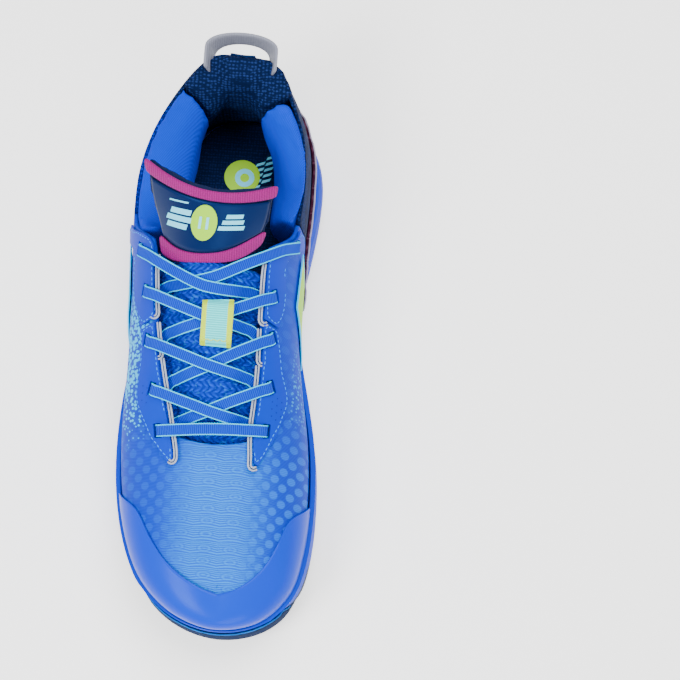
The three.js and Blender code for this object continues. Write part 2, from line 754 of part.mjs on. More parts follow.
const overlayOuter = gap + overlayThickness;
const aboveRim = (p) => atHeight(p, rimHeight + toeLift(-onLast(p, 0).y) + 2 * gap);

// The film over the toe: its edge is a share of the way up the last.
function toeCap() {
  const capFrom = 9.2;
  const capEdge = [
    [9.2, 0.16], [9.5, 0.34], [9.8, 0.46], [10.2, 0.51], [10.8, 0.58], [11.4, 0.66], [12, 0.75],
    [13, 0.87],
  ];
  return panel({
    from: capFrom, to: turns - capFrom, columns: 38, rows: 6,
    low: (q) => aboveRim(wrap(q)),
    high: (q) => profile(capEdge, Math.abs(wrap(q))),
    outer: gap + 1, inner: gap + 0.1,
  });
}

add('toe_cap', toeCap(), colours.blue, 0.3);

// Widths of the eyestay overlays, down the wall from the throat line.
const eyestays = {
  upper: {
    medial: [[4.15, 9], [4.5, 13], [5.2, 15], [5.8, 16], [6.15, 13.5], [6.36, 11]],
    lateral: [[4.3, 14], [4.7, 18], [5.2, 20.5], [5.8, 20], [6.25, 15], [6.5, 11]],
  },
  lower: {
    medial: [
      [6.44, 11.5], [6.9, 13], [7.3, 16], [7.65, 19.5], [8, 17.5], [8.6, 12.2], [9, 6.5], [9.2, 3],
    ],
    lateral: [
      [6.58, 11.5], [7.05, 13], [7.45, 16], [7.8, 19], [8.15, 17], [8.7, 12.2], [9.1, 6.5], [9.3, 3],
    ],
  },
};

function eyestay(which, side) {
  const widths = eyestays[which][side];
  const [from, to] = [widths[0][0], widths[widths.length - 1][0]];
  const edge = (p) => (Math.abs(p) > throatEnd - 0.3 ? throatLine(p) : upperEdge(p));
  const sheet = panel({
    from: hand[side] * from, to: hand[side] * to, columns: 18, rows: 4,
    low: (p) => downFrom(p, edge(p), profile(widths, Math.abs(p))),
    high: (p) => downFrom(p, edge(p), 0.5),
    outer: overlayOuter, inner: gap,
  });
  return cut(sheet, allSlots);
}

function piping(side) {
  const [from, to, count] = [throatTop + 0.1, 9.25, 26];
  const points = Array.from({ length: count + 1 }, (_, i) => {
    const p = mix(from, to, i / count);
    const height = profile([[8.1, 0], [8.55, 0.6], [8.9, overlayOuter + 0.3]], p);
    return skin(hand[side] * p, downFrom(hand[side] * p, throatLine(hand[side] * p), -1.8), height);
  });
  return tube(points, pipingRadius, 4, 30);
}

const cageHeight = 46;
const scallop = { depth: 2.2, pitch: 0.5 };
const cageSlope = [[0, 6], [2, 4], [5, -6]];
const cageTop = (p) => cageHeight + profile(cageSlope, Math.abs(p))
  + scallop.depth * Math.cos(2 * Math.PI * p / scallop.pitch);

function heelCage() {
  return panel({
    from: -5.25, to: 5.25, columns: 63, rows: 3,
    low: (p) => aboveRim(p),
    high: (p) => atHeight(p, cageTop(p)),
    outer: gap + 2, inner: gap + 0.1,
  });
}

const counterTop = 56;

function heelCounter() {
  return panel({
    from: -3, to: 3, columns: 20, rows: 4,
    low: (p) => atHeight(p, insoleTop + 2 * gap),
    high: (p) => atHeight(p, counterTop),
    outer: -(meshThickness + gap), inner: -(meshThickness + gap + counterThickness),
  });
}

const heelCollarEnd = 1.64;       // p of the seams between the knitted heel pad and the side pads
const padThickness = {            // by p, at the fullest height
  heel: [[0, 15], [heelCollarEnd, 19]],
  medial: [[heelCollarEnd, 19], [2.5, 16], [3.2, 14.5], [4.12, 15]],
  lateral: [[heelCollarEnd, 20], [2.4, 25], [3.4, 26], [4.2, 21], [4.7, 13]],
};
const collarEnd = { medial: 4.12, lateral: 4.7 };

// Padded collar and its lining: one soft piece from the insole to above the shell's edge.
function collarPad(from, to, columns, thick) {
  const behindCounter = -(meshThickness + 2 * gap + counterThickness);
  const behindShell = -(meshThickness + 0.65);
  const pad = (p) => behindShell - profile(thick, Math.abs(p));
  const face = (which) => Array.from({ length: columns + 1 }, (_, i) => {
    const p = mix(from, to, i / columns);
    const edge = onLast(p, upperEdge(p)).z;
    const base = insoleTop + 2 * gap;
    const rows = [
      [base, behindCounter, behindCounter - liningThickness],
      [mix(base, edge, 0.35), behindCounter, mix(behindCounter, pad(p), 0.55)],
      [Math.max(counterTop + 1.5, mix(base, edge, 0.62)), behindCounter, pad(p)],
      [mix(base, edge, 0.84), behindShell, pad(p) - 0.4],
      [edge, behindShell, mix(behindShell, pad(p), 0.9)],
      [edge + 0.8, behindShell + 0.1, mix(behindShell, pad(p), 0.85)],
      [edge + 0.55 * collarReveal, -0.6, mix(behindShell, pad(p), 0.7)],
      [edge + collarReveal, -3, mix(behindShell, pad(p), 0.42)],
    ];
    return rows.map(([z, outer, inner]) => skin(p, atHeight(p, z), which === 'outer' ? outer : inner));
  });
  return gridSolid(face('outer'), face('inner'));
}

const backstay = () => panel({
  from: -0.42, to: 0.42, columns: 4, rows: 4,
  low: (p) => atHeight(p, 57),
  high: (p) => downFrom(p, upperEdge(p), 1),
  outer: overlayOuter, inner: gap,
});

// Plain slanted bar on each side.
function sideFlash(side) {
  const [length, slant, bottom, top] = [1.15, -0.9, rimHeight + 4, 62];
  const [columns, rows] = [6, 6];
  const cells = (count, value) => Array.from({ length: count + 1 }, (_, i) => value(i));
  const face = (d) => cells(columns, (i) => cells(rows, (j) => {
    const p = hand[side] * (5.35 + length * i / columns + slant * j / rows);
    return skin(p, atHeight(p, mix(bottom, top, j / rows)), d);
  }));
  return gridSolid(face(gap + 0.8), face(gap + 0.1));
}

for (const side of sides) {
  const h = hand[side];
  add(`rear_quarter_${side}`, panel({
    from: h * 0.01, to: h * (waist - seamHalf), columns: 16, rows: 6,
    low: () => 0, high: upperEdge, outer: 0, inner: -meshThickness,
  }), colours.navy, 0.85);
  add(`eyestay_upper_${side}`, eyestay('upper', side), colours.blue, 0.45);
  add(`eyestay_lower_${side}`, eyestay('lower', side), colours.blue, 0.45);
  add(`piping_${side}`, piping(side), colours.silver, 0.5);
  add(`side_flash_${side}`, sideFlash(side), colours.lime, 0.6);
  const from = h * (heelCollarEnd + 0.06);
  add(`collar_${side}`, collarPad(from, h * collarEnd[side], 12, padThickness[side]), colours.blue, 0.9);
}
add('heel_collar', collarPad(-heelCollarEnd, heelCollarEnd, 14, padThickness.heel), colours.navy, 0.95);
add('heel_cage', heelCage(), colours.plum, 0.3);
add('heel_counter', heelCounter(), colours.silver, 0.6);
add('backstay', backstay(), colours.navy, 0.6);

// ---------------------------------------------------------------- tongue
const tongueRoot = 207;           // toe end of the tongue, under the vamp
const hinge = 121;                // where the tongue folds

// The tongue under the laces: a is the share of the throat's half width, from -1 to 1 and just past it.
function tongueBody() {
  const wide = 1.27;
  const crown = [[0, -0.9], [0.25, -1.1], [0.5, -2.6], [0.7, -4.4], [0.9, -5.4], [wide, -5.7]];
  const [columns, rows] = [14, 13];
  const face = (inner) => Array.from({ length: rows + 1 }, (_, i) => {
    const s = mix(hinge + 2, tongueRoot, i / rows) * along;
    return Array.from({ length: columns + 1 }, (__, j) => {
      const a = mix(-wide, wide, j / columns);
      const raised = 1 - smooth(188, 202, s / along);
      const top = mix(crown[crown.length - 1][1], profile(crown, Math.abs(a)), raised);
      return crownAt(throatCentre(s) + a * throatHalf(s), s, inner ? -5.7 - tongueThickness : top);
    });
  });
  return gridSolid(face(false), face(true));
}

// The padded top: v runs from the hinge up to the rim, a across it, d out from its front face.
const tongueLine = { s: [[0, 119.5], [0.5, 104.5], [1, 91.5]], z: [[0, 104], [0.5, 118.5], [1, 131.5]] };
const tongueTwist = [[0, 0], [0.4, 3], [1, 5]];   // the medial end lies further forward
const tongueHalf = [[0, 24.2], [0.3, 25.5], [0.65, 32], [1, 34]];
const tongueDrop = [[0, 17.5], [0.5, 12], [1, 8]];
const tongueWrap = [[0, 1], [0.5, 7], [1, 14]];

function onTongue(a, v, d) {
  const bare = (aa, vv) => point(
    (-6.6 + aa * profile(tongueHalf, vv)) * across,
    (profile(tongueLine.s, vv) - profile(tongueWrap, vv) * aa * aa
      + profile(tongueTwist, vv) * aa) * along,
    (profile(tongueLine.z, vv) - profile(tongueDrop, vv) * aa * aa) * upward,
  );
  const e = 0.01;
  const sideways = bare(a + e, v).sub(bare(a - e, v));
  const up = bare(a, clamp(v + e, 0, 1)).sub(bare(a, clamp(v - e, 0, 1)));
  return bare(a, v).addScaledVector(sideways.cross(up).normalize(), d);
}

// Sheet on the tongue between the heights low(a) and high(a).
function tongueSheet(low, high, wide, columns, rows, outer, inner) {
  const cells = (count, value) => Array.from({ length: count + 1 }, (_, i) => value(i));
  const face = (depth) => cells(rows, (i) => cells(columns, (j) => {
    const a = mix(-wide, wide, j / columns);
    const v = mix(low(a), high(a), i / rows);
    return onTongue(a, v, typeof depth === 'function' ? depth(a, v) : depth);
  }));
  return gridSolid(face(outer), face(inner));
}

const padBack = (a, v) => -tonguePadThickness
  * mix(0.55, 1, smooth(0, 0.3, v)) * mix(1, 0.5, smooth(0.6, 1, Math.abs(a)))
  * mix(1, 0.6, smooth(0.85, 1, v));
add('tongue_body', tongueBody(), colours.blue, 0.9);
const padFront = (a, v) => -1.5 * smooth(0.96, 1, v);
const swept = (v) => (a) => v + 0.24 * a * a + 0.09 * a;      // rises towards both ends
const level = (v) => () => v;
const bandOuter = gap + 0.9;
const padLow = (a) => 0.1 * a * a + 0.03 * a;
add('tongue_pad', tongueSheet(padLow, level(1), 1, 12, 10, padFront, padBack), colours.navy, 0.9);
add('tongue_label', tongueSheet(swept(0.21), level(0.77), 0.9, 12, 4, gap + 0.8, gap), colours.navy, 0.5);
const band = (from, to) => tongueSheet(from, to, 0.98, 12, 2, bandOuter, gap);
add('tongue_trim_upper', band(level(0.8), level(0.95)), colours.magenta, 0.8);
add('tongue_trim_lower', band(swept(0.055), swept(0.18)), colours.magenta, 0.8);

function laceKeeper() {
  const centre = 0.5;
  const arch = [
    [136.5, 0], [137, 0.5], [138, 3.3], [139.6, 4.3], [147, 4.1], [153, 4], [155.6, 3.3], [157.2, 0.6],
    [158.4, 0],
  ];
  const frames = arch.map(([s, height]) => ({
    at: crownAt(centre * across, s * along, height),
    side: new THREE.Vector3(1, 0, 0),
  }));
  return ribbon(frames, keeperWidth, 1);
}

add('lace_keeper', laceKeeper(), colours.aqua, 0.8);

function pullLoop() {
  const ends = sides.map((side) => {
    const p = hand[side] * 1.08;
    return skin(p, atHeight(p, 97.5 * upward), 3);
  });
  const [left, right] = ends;
  const middle = left.clone().add(right).multiplyScalar(0.5);
  const half = right.x - middle.x;
  const [back, rise] = [11.8, 0.5];
  const frames = Array.from({ length: 21 }, (_, i) => {
    const angle = mix(Math.PI, 0, i / 20);
    const at = new THREE.Vector3(
      middle.x + half * Math.cos(angle),
      middle.y + back * Math.sin(angle) ** 0.8,
      middle.z + rise * Math.sin(angle),
    );
    return { at, side: new THREE.Vector3(0, -0.35 * Math.sin(angle), 1) };
  });
  return ribbon(frames, loopWidth, loopThickness);
}

add('pull_loop', pullLoop(), colours.silver, 0.6);

// ---------------------------------------------------------------- frame of the part
// Origin: middle of the box in plan, on the ground.
const box = new THREE.Box3().setFromObject(shoe, true);
const centre = box.getCenter(new THREE.Vector3());
shoe.children.forEach((mesh) => mesh.geometry.translate(-centre.x, -centre.y, -box.min.z));

export default shoe;
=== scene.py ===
# Low-cut basketball shoe, right foot: finished pieces, cloth, seams and materials on the CAD frame.
# Metres, +Z up, toe towards -Y, medial side towards +X.
import math

import bmesh
import bpy
import numpy as np
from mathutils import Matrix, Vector
from mathutils.bvhtree import BVHTree


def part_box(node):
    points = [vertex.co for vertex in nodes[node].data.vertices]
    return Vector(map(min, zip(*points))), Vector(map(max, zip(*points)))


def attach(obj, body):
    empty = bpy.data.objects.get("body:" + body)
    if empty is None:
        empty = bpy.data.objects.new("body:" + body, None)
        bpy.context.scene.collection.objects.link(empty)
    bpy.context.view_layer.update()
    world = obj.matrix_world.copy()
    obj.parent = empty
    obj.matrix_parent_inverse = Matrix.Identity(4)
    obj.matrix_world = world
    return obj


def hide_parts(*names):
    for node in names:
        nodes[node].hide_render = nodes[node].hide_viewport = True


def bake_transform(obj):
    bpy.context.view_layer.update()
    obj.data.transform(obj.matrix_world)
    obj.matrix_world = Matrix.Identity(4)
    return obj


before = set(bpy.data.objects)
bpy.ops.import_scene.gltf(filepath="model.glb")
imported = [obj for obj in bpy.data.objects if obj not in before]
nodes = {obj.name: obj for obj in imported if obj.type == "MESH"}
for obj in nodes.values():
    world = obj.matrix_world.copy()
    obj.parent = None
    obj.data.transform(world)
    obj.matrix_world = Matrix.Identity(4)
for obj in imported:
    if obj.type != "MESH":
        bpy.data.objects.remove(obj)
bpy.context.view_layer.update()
MM = 0.001
SHOE, TONGUE, LOOP = "shoe", "tongue_top", "heel_loop"

# sizes in millimetres that more than one function reads
LACE_WIDTH, LACE_THICKNESS = 6.3, 1.2
BRAID_ROW, BRAID_CORD, BRAID_SLANT = 2.6, 3.4, 1.1    # row height, cord pitch, slope
WELD = 2e-6                       # metres; joins the loose corners of a CAD mesh
UV_PER_METRE = 100                # length units of the lace's map


# ---------------------------------------------------------------- camera, floor and lights
def place_camera():
    data = bpy.data.cameras.new("camera")
    data.lens = 84.3
    data.sensor_width = 36.0
    data.clip_end = 10
    camera = bpy.data.objects.new("camera", data)
    bpy.context.scene.collection.objects.link(camera)
    camera.location = (0.0791, -0.2288, 0.8651)
    aim = Vector((0.0596, 0.0185, 0.0)) - camera.location
    camera.rotation_euler = aim.to_track_quat("-Z", "Y").to_euler()
    bpy.context.scene.camera = camera


def add_light(name, location, target, size, power, colour=(1, 1, 1)):
    data = bpy.data.lights.new(name, "AREA")
    data.shape = "DISK"
    data.size = size
    data.energy = power
    data.color = colour
    lamp = bpy.data.objects.new(name, data)
    bpy.context.scene.collection.objects.link(lamp)
    lamp.location = location
    lamp.rotation_euler = (Vector(target) - Vector(location)).to_track_quat("-Z", "Y").to_euler()


def studio():
    place_camera()
    bpy.ops.mesh.primitive_plane_add(size=6)
    floor = bpy.context.object
    floor.name = "floor"
    look = new_look("floor_paper", (0.93, 0.93, 0.93), 0.9)
    look.shader.inputs["Emission Color"].default_value = (1, 1, 1, 1)
    look.shader.inputs["Emission Strength"].default_value = 0.9
    floor.data.materials.append(look.material)
    world = bpy.data.worlds.new("studio")
    world.use_nodes = True
    world.node_tree.nodes["Background"].inputs[0].default_value = (1, 1, 1, 1)
    world.node_tree.nodes["Background"].inputs[1].default_value = 0.55
    bpy.context.scene.world = world
    add_light("key", (-0.55, -0.55, 1.0), (0, 0, 0.03), 0.5, 15)
    add_light("top", (0.25, 0.35, 1.25), (0, 0, 0.03), 0.9, 21)
    add_light("front", (0.3, -1.1, 0.6), (0, -0.1, 0.03), 0.6, 8)


# ---------------------------------------------------------------- materials
class Look:
    """A material under construction: the shader plus short ways to add nodes."""

    def __init__(self, name, colour, roughness):
        self.material = bpy.data.materials.new(name)
        self.material.use_nodes = True
        self.tree = self.material.node_tree
        self.shader = self.tree.nodes["Principled BSDF"]
        self.shader.inputs["Base Color"].default_value = (*colour, 1)
        self.shader.inputs["Roughness"].default_value = roughness

    def node(self, kind, **settings):
        node = self.tree.nodes.new(kind)
        for key, value in settings.items():
            setattr(node, key, value)
        return node

    def link(self, source, target):
        self.tree.links.new(source, target)

    def fill(self, socket, value):
        if hasattr(value, "is_linked"):
            self.link(value, socket)
        elif value is not None:
            socket.default_value = value

    def math(self, kind, a, b=None, c=None):
        node = self.node("ShaderNodeMath", operation=kind)
        for socket, value in zip(node.inputs, (a, b, c)):
            self.fill(socket, value)
        return node.outputs[0]

    def times(self, a, b):
        return self.math("MULTIPLY", a, b)

    def plus(self, a, b):
        return self.math("ADD", a, b)

    def minus(self, a, b):
        return self.math("SUBTRACT", a, b)

    def linear(self, a, scale, offset):
        """a * scale + offset"""
        return self.math("MULTIPLY_ADD", a, scale, offset)

    def mix(self, factor, a, b):
        node = self.node("ShaderNodeMix", data_type="RGBA")
        self.fill(node.inputs[0], factor)
        for socket, value in ((node.inputs[6], a), (node.inputs[7], b)):
            self.fill(socket, (*value, 1) if isinstance(value, tuple) else value)
        return node.outputs[2]

    def coords(self, source="Object", scale=(1, 1, 1), turn=(0, 0, 0), move=(0, 0, 0)):
        """Object coordinates in millimetres, or the piece's own UV map, through a Mapping node."""
        place = self.node("ShaderNodeTexCoord")
        mapping = self.node("ShaderNodeMapping")
        unit = 1000 if source == "Object" else 1
        mapping.inputs["Location"].default_value = move
        mapping.inputs["Rotation"].default_value = [math.radians(v) for v in turn]
        mapping.inputs["Scale"].default_value = [unit * v for v in scale]
        self.link(place.outputs[source], mapping.inputs["Vector"])
        return mapping.outputs[0]

    def split(self, vector):
        node = self.node("ShaderNodeSeparateXYZ")
        self.link(vector, node.inputs[0])
        return node.outputs

    def noise(self, vector, scale, detail=3.0):
        node = self.node("ShaderNodeTexNoise")
        self.link(vector, node.inputs["Vector"])
        node.inputs["Scale"].default_value = scale
        node.inputs["Detail"].default_value = detail
        return node.outputs["Fac"]

    def cells(self, vector, scale, feature="F1", randomness=1.0):
        node = self.node("ShaderNodeTexVoronoi", feature=feature)
        self.link(vector, node.inputs["Vector"])
        node.inputs["Scale"].default_value = scale
        node.inputs["Randomness"].default_value = randomness
        return node.outputs["Distance"]

    def group(self, tree, **values):
        node = self.node("ShaderNodeGroup")
        node.node_tree = tree
        for key, value in values.items():
            self.fill(node.inputs[key.replace("_", " ")], value)
        return node.outputs

    def ramp(self, value, low, high):
        """0 below low, 1 above high, smooth between."""
        node = self.node("ShaderNodeMapRange", interpolation_type="SMOOTHSTEP")
        self.fill(node.inputs["Value"], value)
        node.inputs["From Min"].default_value = low
        node.inputs["From Max"].default_value = high
        return node.outputs["Result"]

    def fall(self, value, low, high):
        """1 below low, 0 above high, smooth between."""
        return self.minus(1.0, self.ramp(value, low, high))

    def stripes(self, value, pitch):
        """A wave from 0 to 1 with the given pitch, in the units of value."""
        wave = self.math("SINE", self.times(value, 2 * math.pi / pitch))
        return self.linear(wave, 0.5, 0.5)

    def colour(self, value):
        self.link(value, self.shader.inputs["Base Color"])

    def rough(self, value):
        self.link(value, self.shader.inputs["Roughness"])

    def bump(self, height, distance, strength=1.0, on_top_of=None):
        node = self.node("ShaderNodeBump")
        node.inputs["Strength"].default_value = strength
        node.inputs["Distance"].default_value = distance * MM
        self.link(height, node.inputs["Height"])
        if on_top_of is not None:
            self.link(on_top_of, node.inputs["Normal"])
        self.link(node.outputs[0], self.shader.inputs["Normal"])
        return node.outputs[0]


def new_look(name, colour, roughness, **sockets):
    look = Look(name, colour, roughness)
    if colour[2] > 3 * colour[0]:
        look.shader.inputs["Specular Tint"].default_value = BLUE_SHINE
    for key, value in sockets.items():
        look.shader.inputs[key.replace("_", " ")].default_value = value
    return look


def group_tree(name, inputs, outputs):
    tree = bpy.data.node_groups.new(name, "ShaderNodeTree")
    for socket_name, kind, default in inputs:
        socket = tree.interface.new_socket(socket_name, in_out="INPUT", socket_type=kind)
        if default is not None:
            socket.default_value = default
    for socket_name, kind in outputs:
        tree.interface.new_socket(socket_name, in_out="OUTPUT", socket_type=kind)
    start = tree.nodes.new("NodeGroupInput")
    end = tree.nodes.new("NodeGroupOutput")
    return tree, start.outputs, end.inputs


class GroupLook(Look):
    """The node helpers of Look on a node group's tree."""

    def __init__(self, tree):
        self.tree = tree


def weave_group():
    """Fine over-and-under weave at an angle: Mask picks the threads, Height is their relief."""
    tree, given, out = group_tree(
        "weave",
        [("Vector", "NodeSocketVector", None), ("Across", "NodeSocketFloat", 1.0),
         ("Along", "NodeSocketFloat", 1.0)],
        [("Mask", "NodeSocketFloat"), ("Height", "NodeSocketFloat")],
    )
    g = GroupLook(tree)
    axes = g.split(given["Vector"])
    a = g.times(axes[0], g.math("DIVIDE", 2 * math.pi, given["Across"]))
    b = g.times(axes[1], g.math("DIVIDE", 2 * math.pi, given["Along"]))
    warp = g.math("SINE", g.plus(a, b))
    weft = g.math("SINE", g.minus(a, b))
    height = g.linear(g.math("MAXIMUM", warp, weft), 0.5, 0.5)
    g.link(height, out["Height"])
    g.link(g.math("POWER", height, 1.5), out["Mask"])
    return tree


def mottle_group():
    """Slow uneven tone of dyed cloth and moulded rubber, from 1 - Amount to 1 + Amount."""
    tree, given, out = group_tree(
        "mottle",
        [("Vector", "NodeSocketVector", None), ("Size", "NodeSocketFloat", 12.0),
         ("Amount", "NodeSocketFloat", 0.1),
         ("Color", "NodeSocketColor", (0.5, 0.5, 0.5, 1))],
        [("Color", "NodeSocketColor"), ("Factor", "NodeSocketFloat")],
    )
    g = GroupLook(tree)
    noise = g.node("ShaderNodeTexNoise")
    g.link(given["Vector"], noise.inputs["Vector"])
    g.link(g.math("DIVIDE", 1.0, given["Size"]), noise.inputs["Scale"])
    noise.inputs["Detail"].default_value = 4
    centred = g.times(g.minus(noise.outputs["Fac"], 0.5), 2.0)
    factor = g.linear(centred, given["Amount"], 1.0)
    scale = g.node("ShaderNodeVectorMath", operation="SCALE")
    g.link(given["Color"], scale.inputs[0])
    g.link(factor, scale.inputs["Scale"])
    g.link(scale.outputs[0], out["Color"])
    g.link(factor, out["Factor"])
    return tree


WEAVE = weave_group()
MOTTLE = mottle_group()


def tone(look, colour, size=14.0, amount=0.08, coords=None):
    """Gives the look its colour with a slow uneven tone."""
    vector = coords or look.coords()
    source = look.group(MOTTLE, Vector=vector, Size=size, Amount=amount,
                        Color=(*colour, 1) if isinstance(colour, tuple) else colour)
    look.colour(source["Color"])
    return source


BLUE = (0.0, 0.03, 0.48)
BRIGHT_BLUE = (0.0, 0.034, 0.55)
DARK_BLUE = (0.0, 0.011, 0.22)
SKY = (0.0, 0.15, 0.72)
NAVY = (0.005, 0.01, 0.05)
LIGHT_NAVY = (0.012, 0.028, 0.13)
LIME = (0.3, 0.64, 0.0)
YELLOW = (0.55, 0.72, 0.0)
AQUA = (0.0, 0.5, 0.88)
KEEPER_AQUA = (0.03, 0.66, 0.7)
PALE = (0.16, 0.66, 0.88)
MAGENTA = (0.3, 0.0, 0.17)
SILVER = (0.22, 0.23, 0.29)
PLUM = (0.026, 0.002, 0.015)
BLUE_SHINE = (0.1, 0.4, 1.0, 1)


def twill_look(name, colour, pitch=0.75, turn=0.0, depth=0.22, dark=0.72):
    """Fine diagonal ribs over padded cloth."""
    look = new_look(name, colour, 0.8, Specular_IOR_Level=0.15)
    vector = look.coords(turn=(0, 0, turn))
    axes = look.split(vector)
    rib = look.stripes(look.plus(axes[0], look.times(axes[2], 0.35)), pitch)
    broken = look.noise(look.coords(scale=(1, 1, 1)), 1.6, 2)
    mask = look.linear(broken, 0.35, look.times(rib, 0.65))
    shaded = look.mix(mask, tuple(dark * c for c in colour),
                      tuple(min(1, 1.12 * c) for c in colour))
    tone(look, shaded, 16, 0.1)
    look.bump(rib, depth, 0.7)
    return look


def knit_look(name, colour, light, pitch=1.45, depth=0.4, heel=None):
    """Open knit of short raised loops; heel is a pair of darker tones for the back of the shoe,
    painted shade that darkens the knit towards the heel.
    """
    look = new_look(name, colour, 0.85, Specular_IOR_Level=0.15)
    cells = look.cells(look.coords(scale=(0.75, 1, 1), turn=(33, 0, 0)), 1 / pitch, randomness=0.3)
    loop = look.fall(cells, 0.2, 0.55)
    fine = look.group(WEAVE, Vector=look.coords(), Across=0.7, Along=0.7)
    mask = look.times(loop, look.linear(fine["Mask"], 0.3, 0.7))
    cloth = look.mix(mask, tuple(0.6 * c for c in colour), light)
    if heel:
        # painted shade: towards the back of the shoe the knit turns to the darker heel tones
        back = look.ramp(look.split(look.coords())[1], 104, 122)
        dark = look.mix(mask, tuple(0.6 * c for c in heel[0]), heel[1])
        cloth = look.mix(back, cloth, dark)
    tone(look, cloth, 12, 0.1)
    look.bump(mask, depth, 0.9)
    return look


def smooth_look(name, colour, roughness, amount=0.05, grain=0.35, **sockets):
    """Film, rubber or foam: nearly even colour, a fine grain and slightly uneven gloss."""
    look = new_look(name, colour, roughness, **sockets)
    tone(look, colour, 22, amount)
    fine = look.noise(look.coords(), 2.2, 4)
    look.rough(look.linear(fine, 0.14, roughness - 0.07))
    look.bump(fine, 0.08, grain)
    return look


def foam_look():
    """Blue midsole foam, dark rubber paint low round the toe, fine moulded lines along the wall."""
    look = new_look("midsole_foam", BLUE, 0.6, Specular_IOR_Level=0.2)
    _, y, z = look.split(look.coords())
    wave = look.times(look.math("SINE", look.times(y, 0.09)), 2.0)
    front = look.fall(y, -118, -92)
    lift = look.math("POWER", look.math("MAXIMUM", look.math("DIVIDE", look.minus(-71.0, y), 85.0),
                                        0.0), 2.0)
    edge = look.times(front, look.linear(lift, 14.0, 22.5))
    low = look.fall(look.minus(z, edge), -0.5, 0.5)
    fine = look.noise(look.coords(), 2.0, 4)
    lines = look.stripes(look.plus(z, wave), 4.5)
    tone(look, look.mix(low, (0.0, 0.03, 0.5), (0.003, 0.01, 0.042)), 24, 0.05)
    look.bump(look.plus(look.times(fine, 0.3), lines), 0.3, 0.6)
    return look


def rib_look(name, colour, axis, pitch, depth=0.3, dark=0.62, roughness=0.7, turn=(0, 0, 0)):
    """Woven band with plain ribs across one axis."""
    look = new_look(name, colour, roughness, Specular_IOR_Level=0.25)
    axes = look.split(look.coords(turn=turn))
    rib = look.stripes(axes[axis], pitch)
    cross = look.stripes(axes[(axis + 1) % 2], pitch * 0.8)
    mask = look.linear(rib, 0.8, look.times(cross, 0.2))
    tone(look, look.mix(mask, tuple(dark * c for c in colour), colour), 10, 0.08)
    look.bump(mask, depth, 0.8)
    return look


def mesh_look():
    """Engineered mesh: contour lines in the middle, dots beside them, aqua flecks laterally."""
    look = new_look("vamp_jacquard", BLUE, 0.65, Specular_IOR_Level=0.2)
    x, y, z = look.split(look.coords())
    from_centre = look.math("ABSOLUTE", look.minus(x, 5.0))
    middle = look.fall(from_centre, 8, 34)
    front = look.fall(y, -78, -30)
    # lines across the foot, bent round small rings that stand in columns
    hills = look.cells(look.coords(scale=(0.5, 1, 0)), 0.15, "F1", 0.12)
    lines = look.stripes(look.plus(y, look.times(hills, 2.2)), 1.1)
    rings = look.stripes(hills, 0.17)
    near = look.times(0.42, look.fall(hills, 0.3, 0.36))
    blend = look.node("ShaderNodeMix", data_type="FLOAT")
    for socket, value in zip((blend.inputs[0], blend.inputs[2], blend.inputs[3]),
                             (near, lines, rings)):
        look.link(value, socket)
    maze = blend.outputs[0]
    # hatched dots in staggered rows at the sides
    dots = look.cells(look.coords(scale=(1, 1, 0), turn=(0, 0, 45)), 0.17, "F1", 0.0)
    hatch = look.stripes(y, 0.9)
    dot = look.times(look.fall(dots, 0.3, 0.4),
                    look.linear(hatch, 0.5, 0.5))
    fine = look.stripes(look.plus(y, look.times(x, 0.12)), 0.7)
    cloth = look.mix(fine, (0.0, 0.017, 0.34), (0.0, 0.042, 0.55))
    shown = look.times(look.linear(front, 0.5, 0.1), look.linear(look.ramp(x, -10, 25), 0.65, 0.35))
    side = look.mix(look.times(dot, shown), cloth, (0.0, 0.2, 0.85))
    vamp = look.mix(maze, (0.0, 0.042, 0.52), (0.0, 0.25, 0.8))
    # painted highlight: the top of the vamp is lightened towards sky blue in soft uneven patches
    lit = look.mix(look.times(look.noise(look.coords(scale=(1, 1, 0)), 0.07, 2), 0.4), vamp, SKY)
    base = look.mix(look.times(middle, front), side, lit)
    # aqua flecks on the lateral wall, dense beside the eyestay and thinner towards the toe
    fleck_cells = look.cells(look.coords(scale=(0.62, 1, 0.62)), 0.52, "F1", 0.75)
    reach = look.linear(look.ramp(y, -66, -30), 0.34, 0.18)
    fleck = look.ramp(look.minus(reach, fleck_cells), -0.05, 0.05)
    where = look.times(look.ramp(look.times(x, -1.0), 34, 40),
                       look.times(look.ramp(y, -68, -52), look.fall(y, 0, 25)))
    fleck = look.times(look.times(fleck, where), look.ramp(z, 38, 48))
    # paler mesh dots on the medial wall under the bar
    patch = look.times(look.ramp(x, 36, 40), look.times(look.ramp(y, -52, -34),
                      look.fall(y, -14, 2)))
    patch = look.times(patch, look.fall(fleck_cells, 0.25, 0.4))
    spots = look.math("MAXIMUM", fleck, look.times(patch, 0.5))
    tone(look, look.mix(look.math("MINIMUM", spots, 0.95), base, AQUA), 18, 0.06)
    relief = look.plus(look.times(maze, middle), look.times(spots, 1.2))
    look.bump(look.plus(relief, look.times(fine, 0.25)), 0.16, 0.7)
    return look


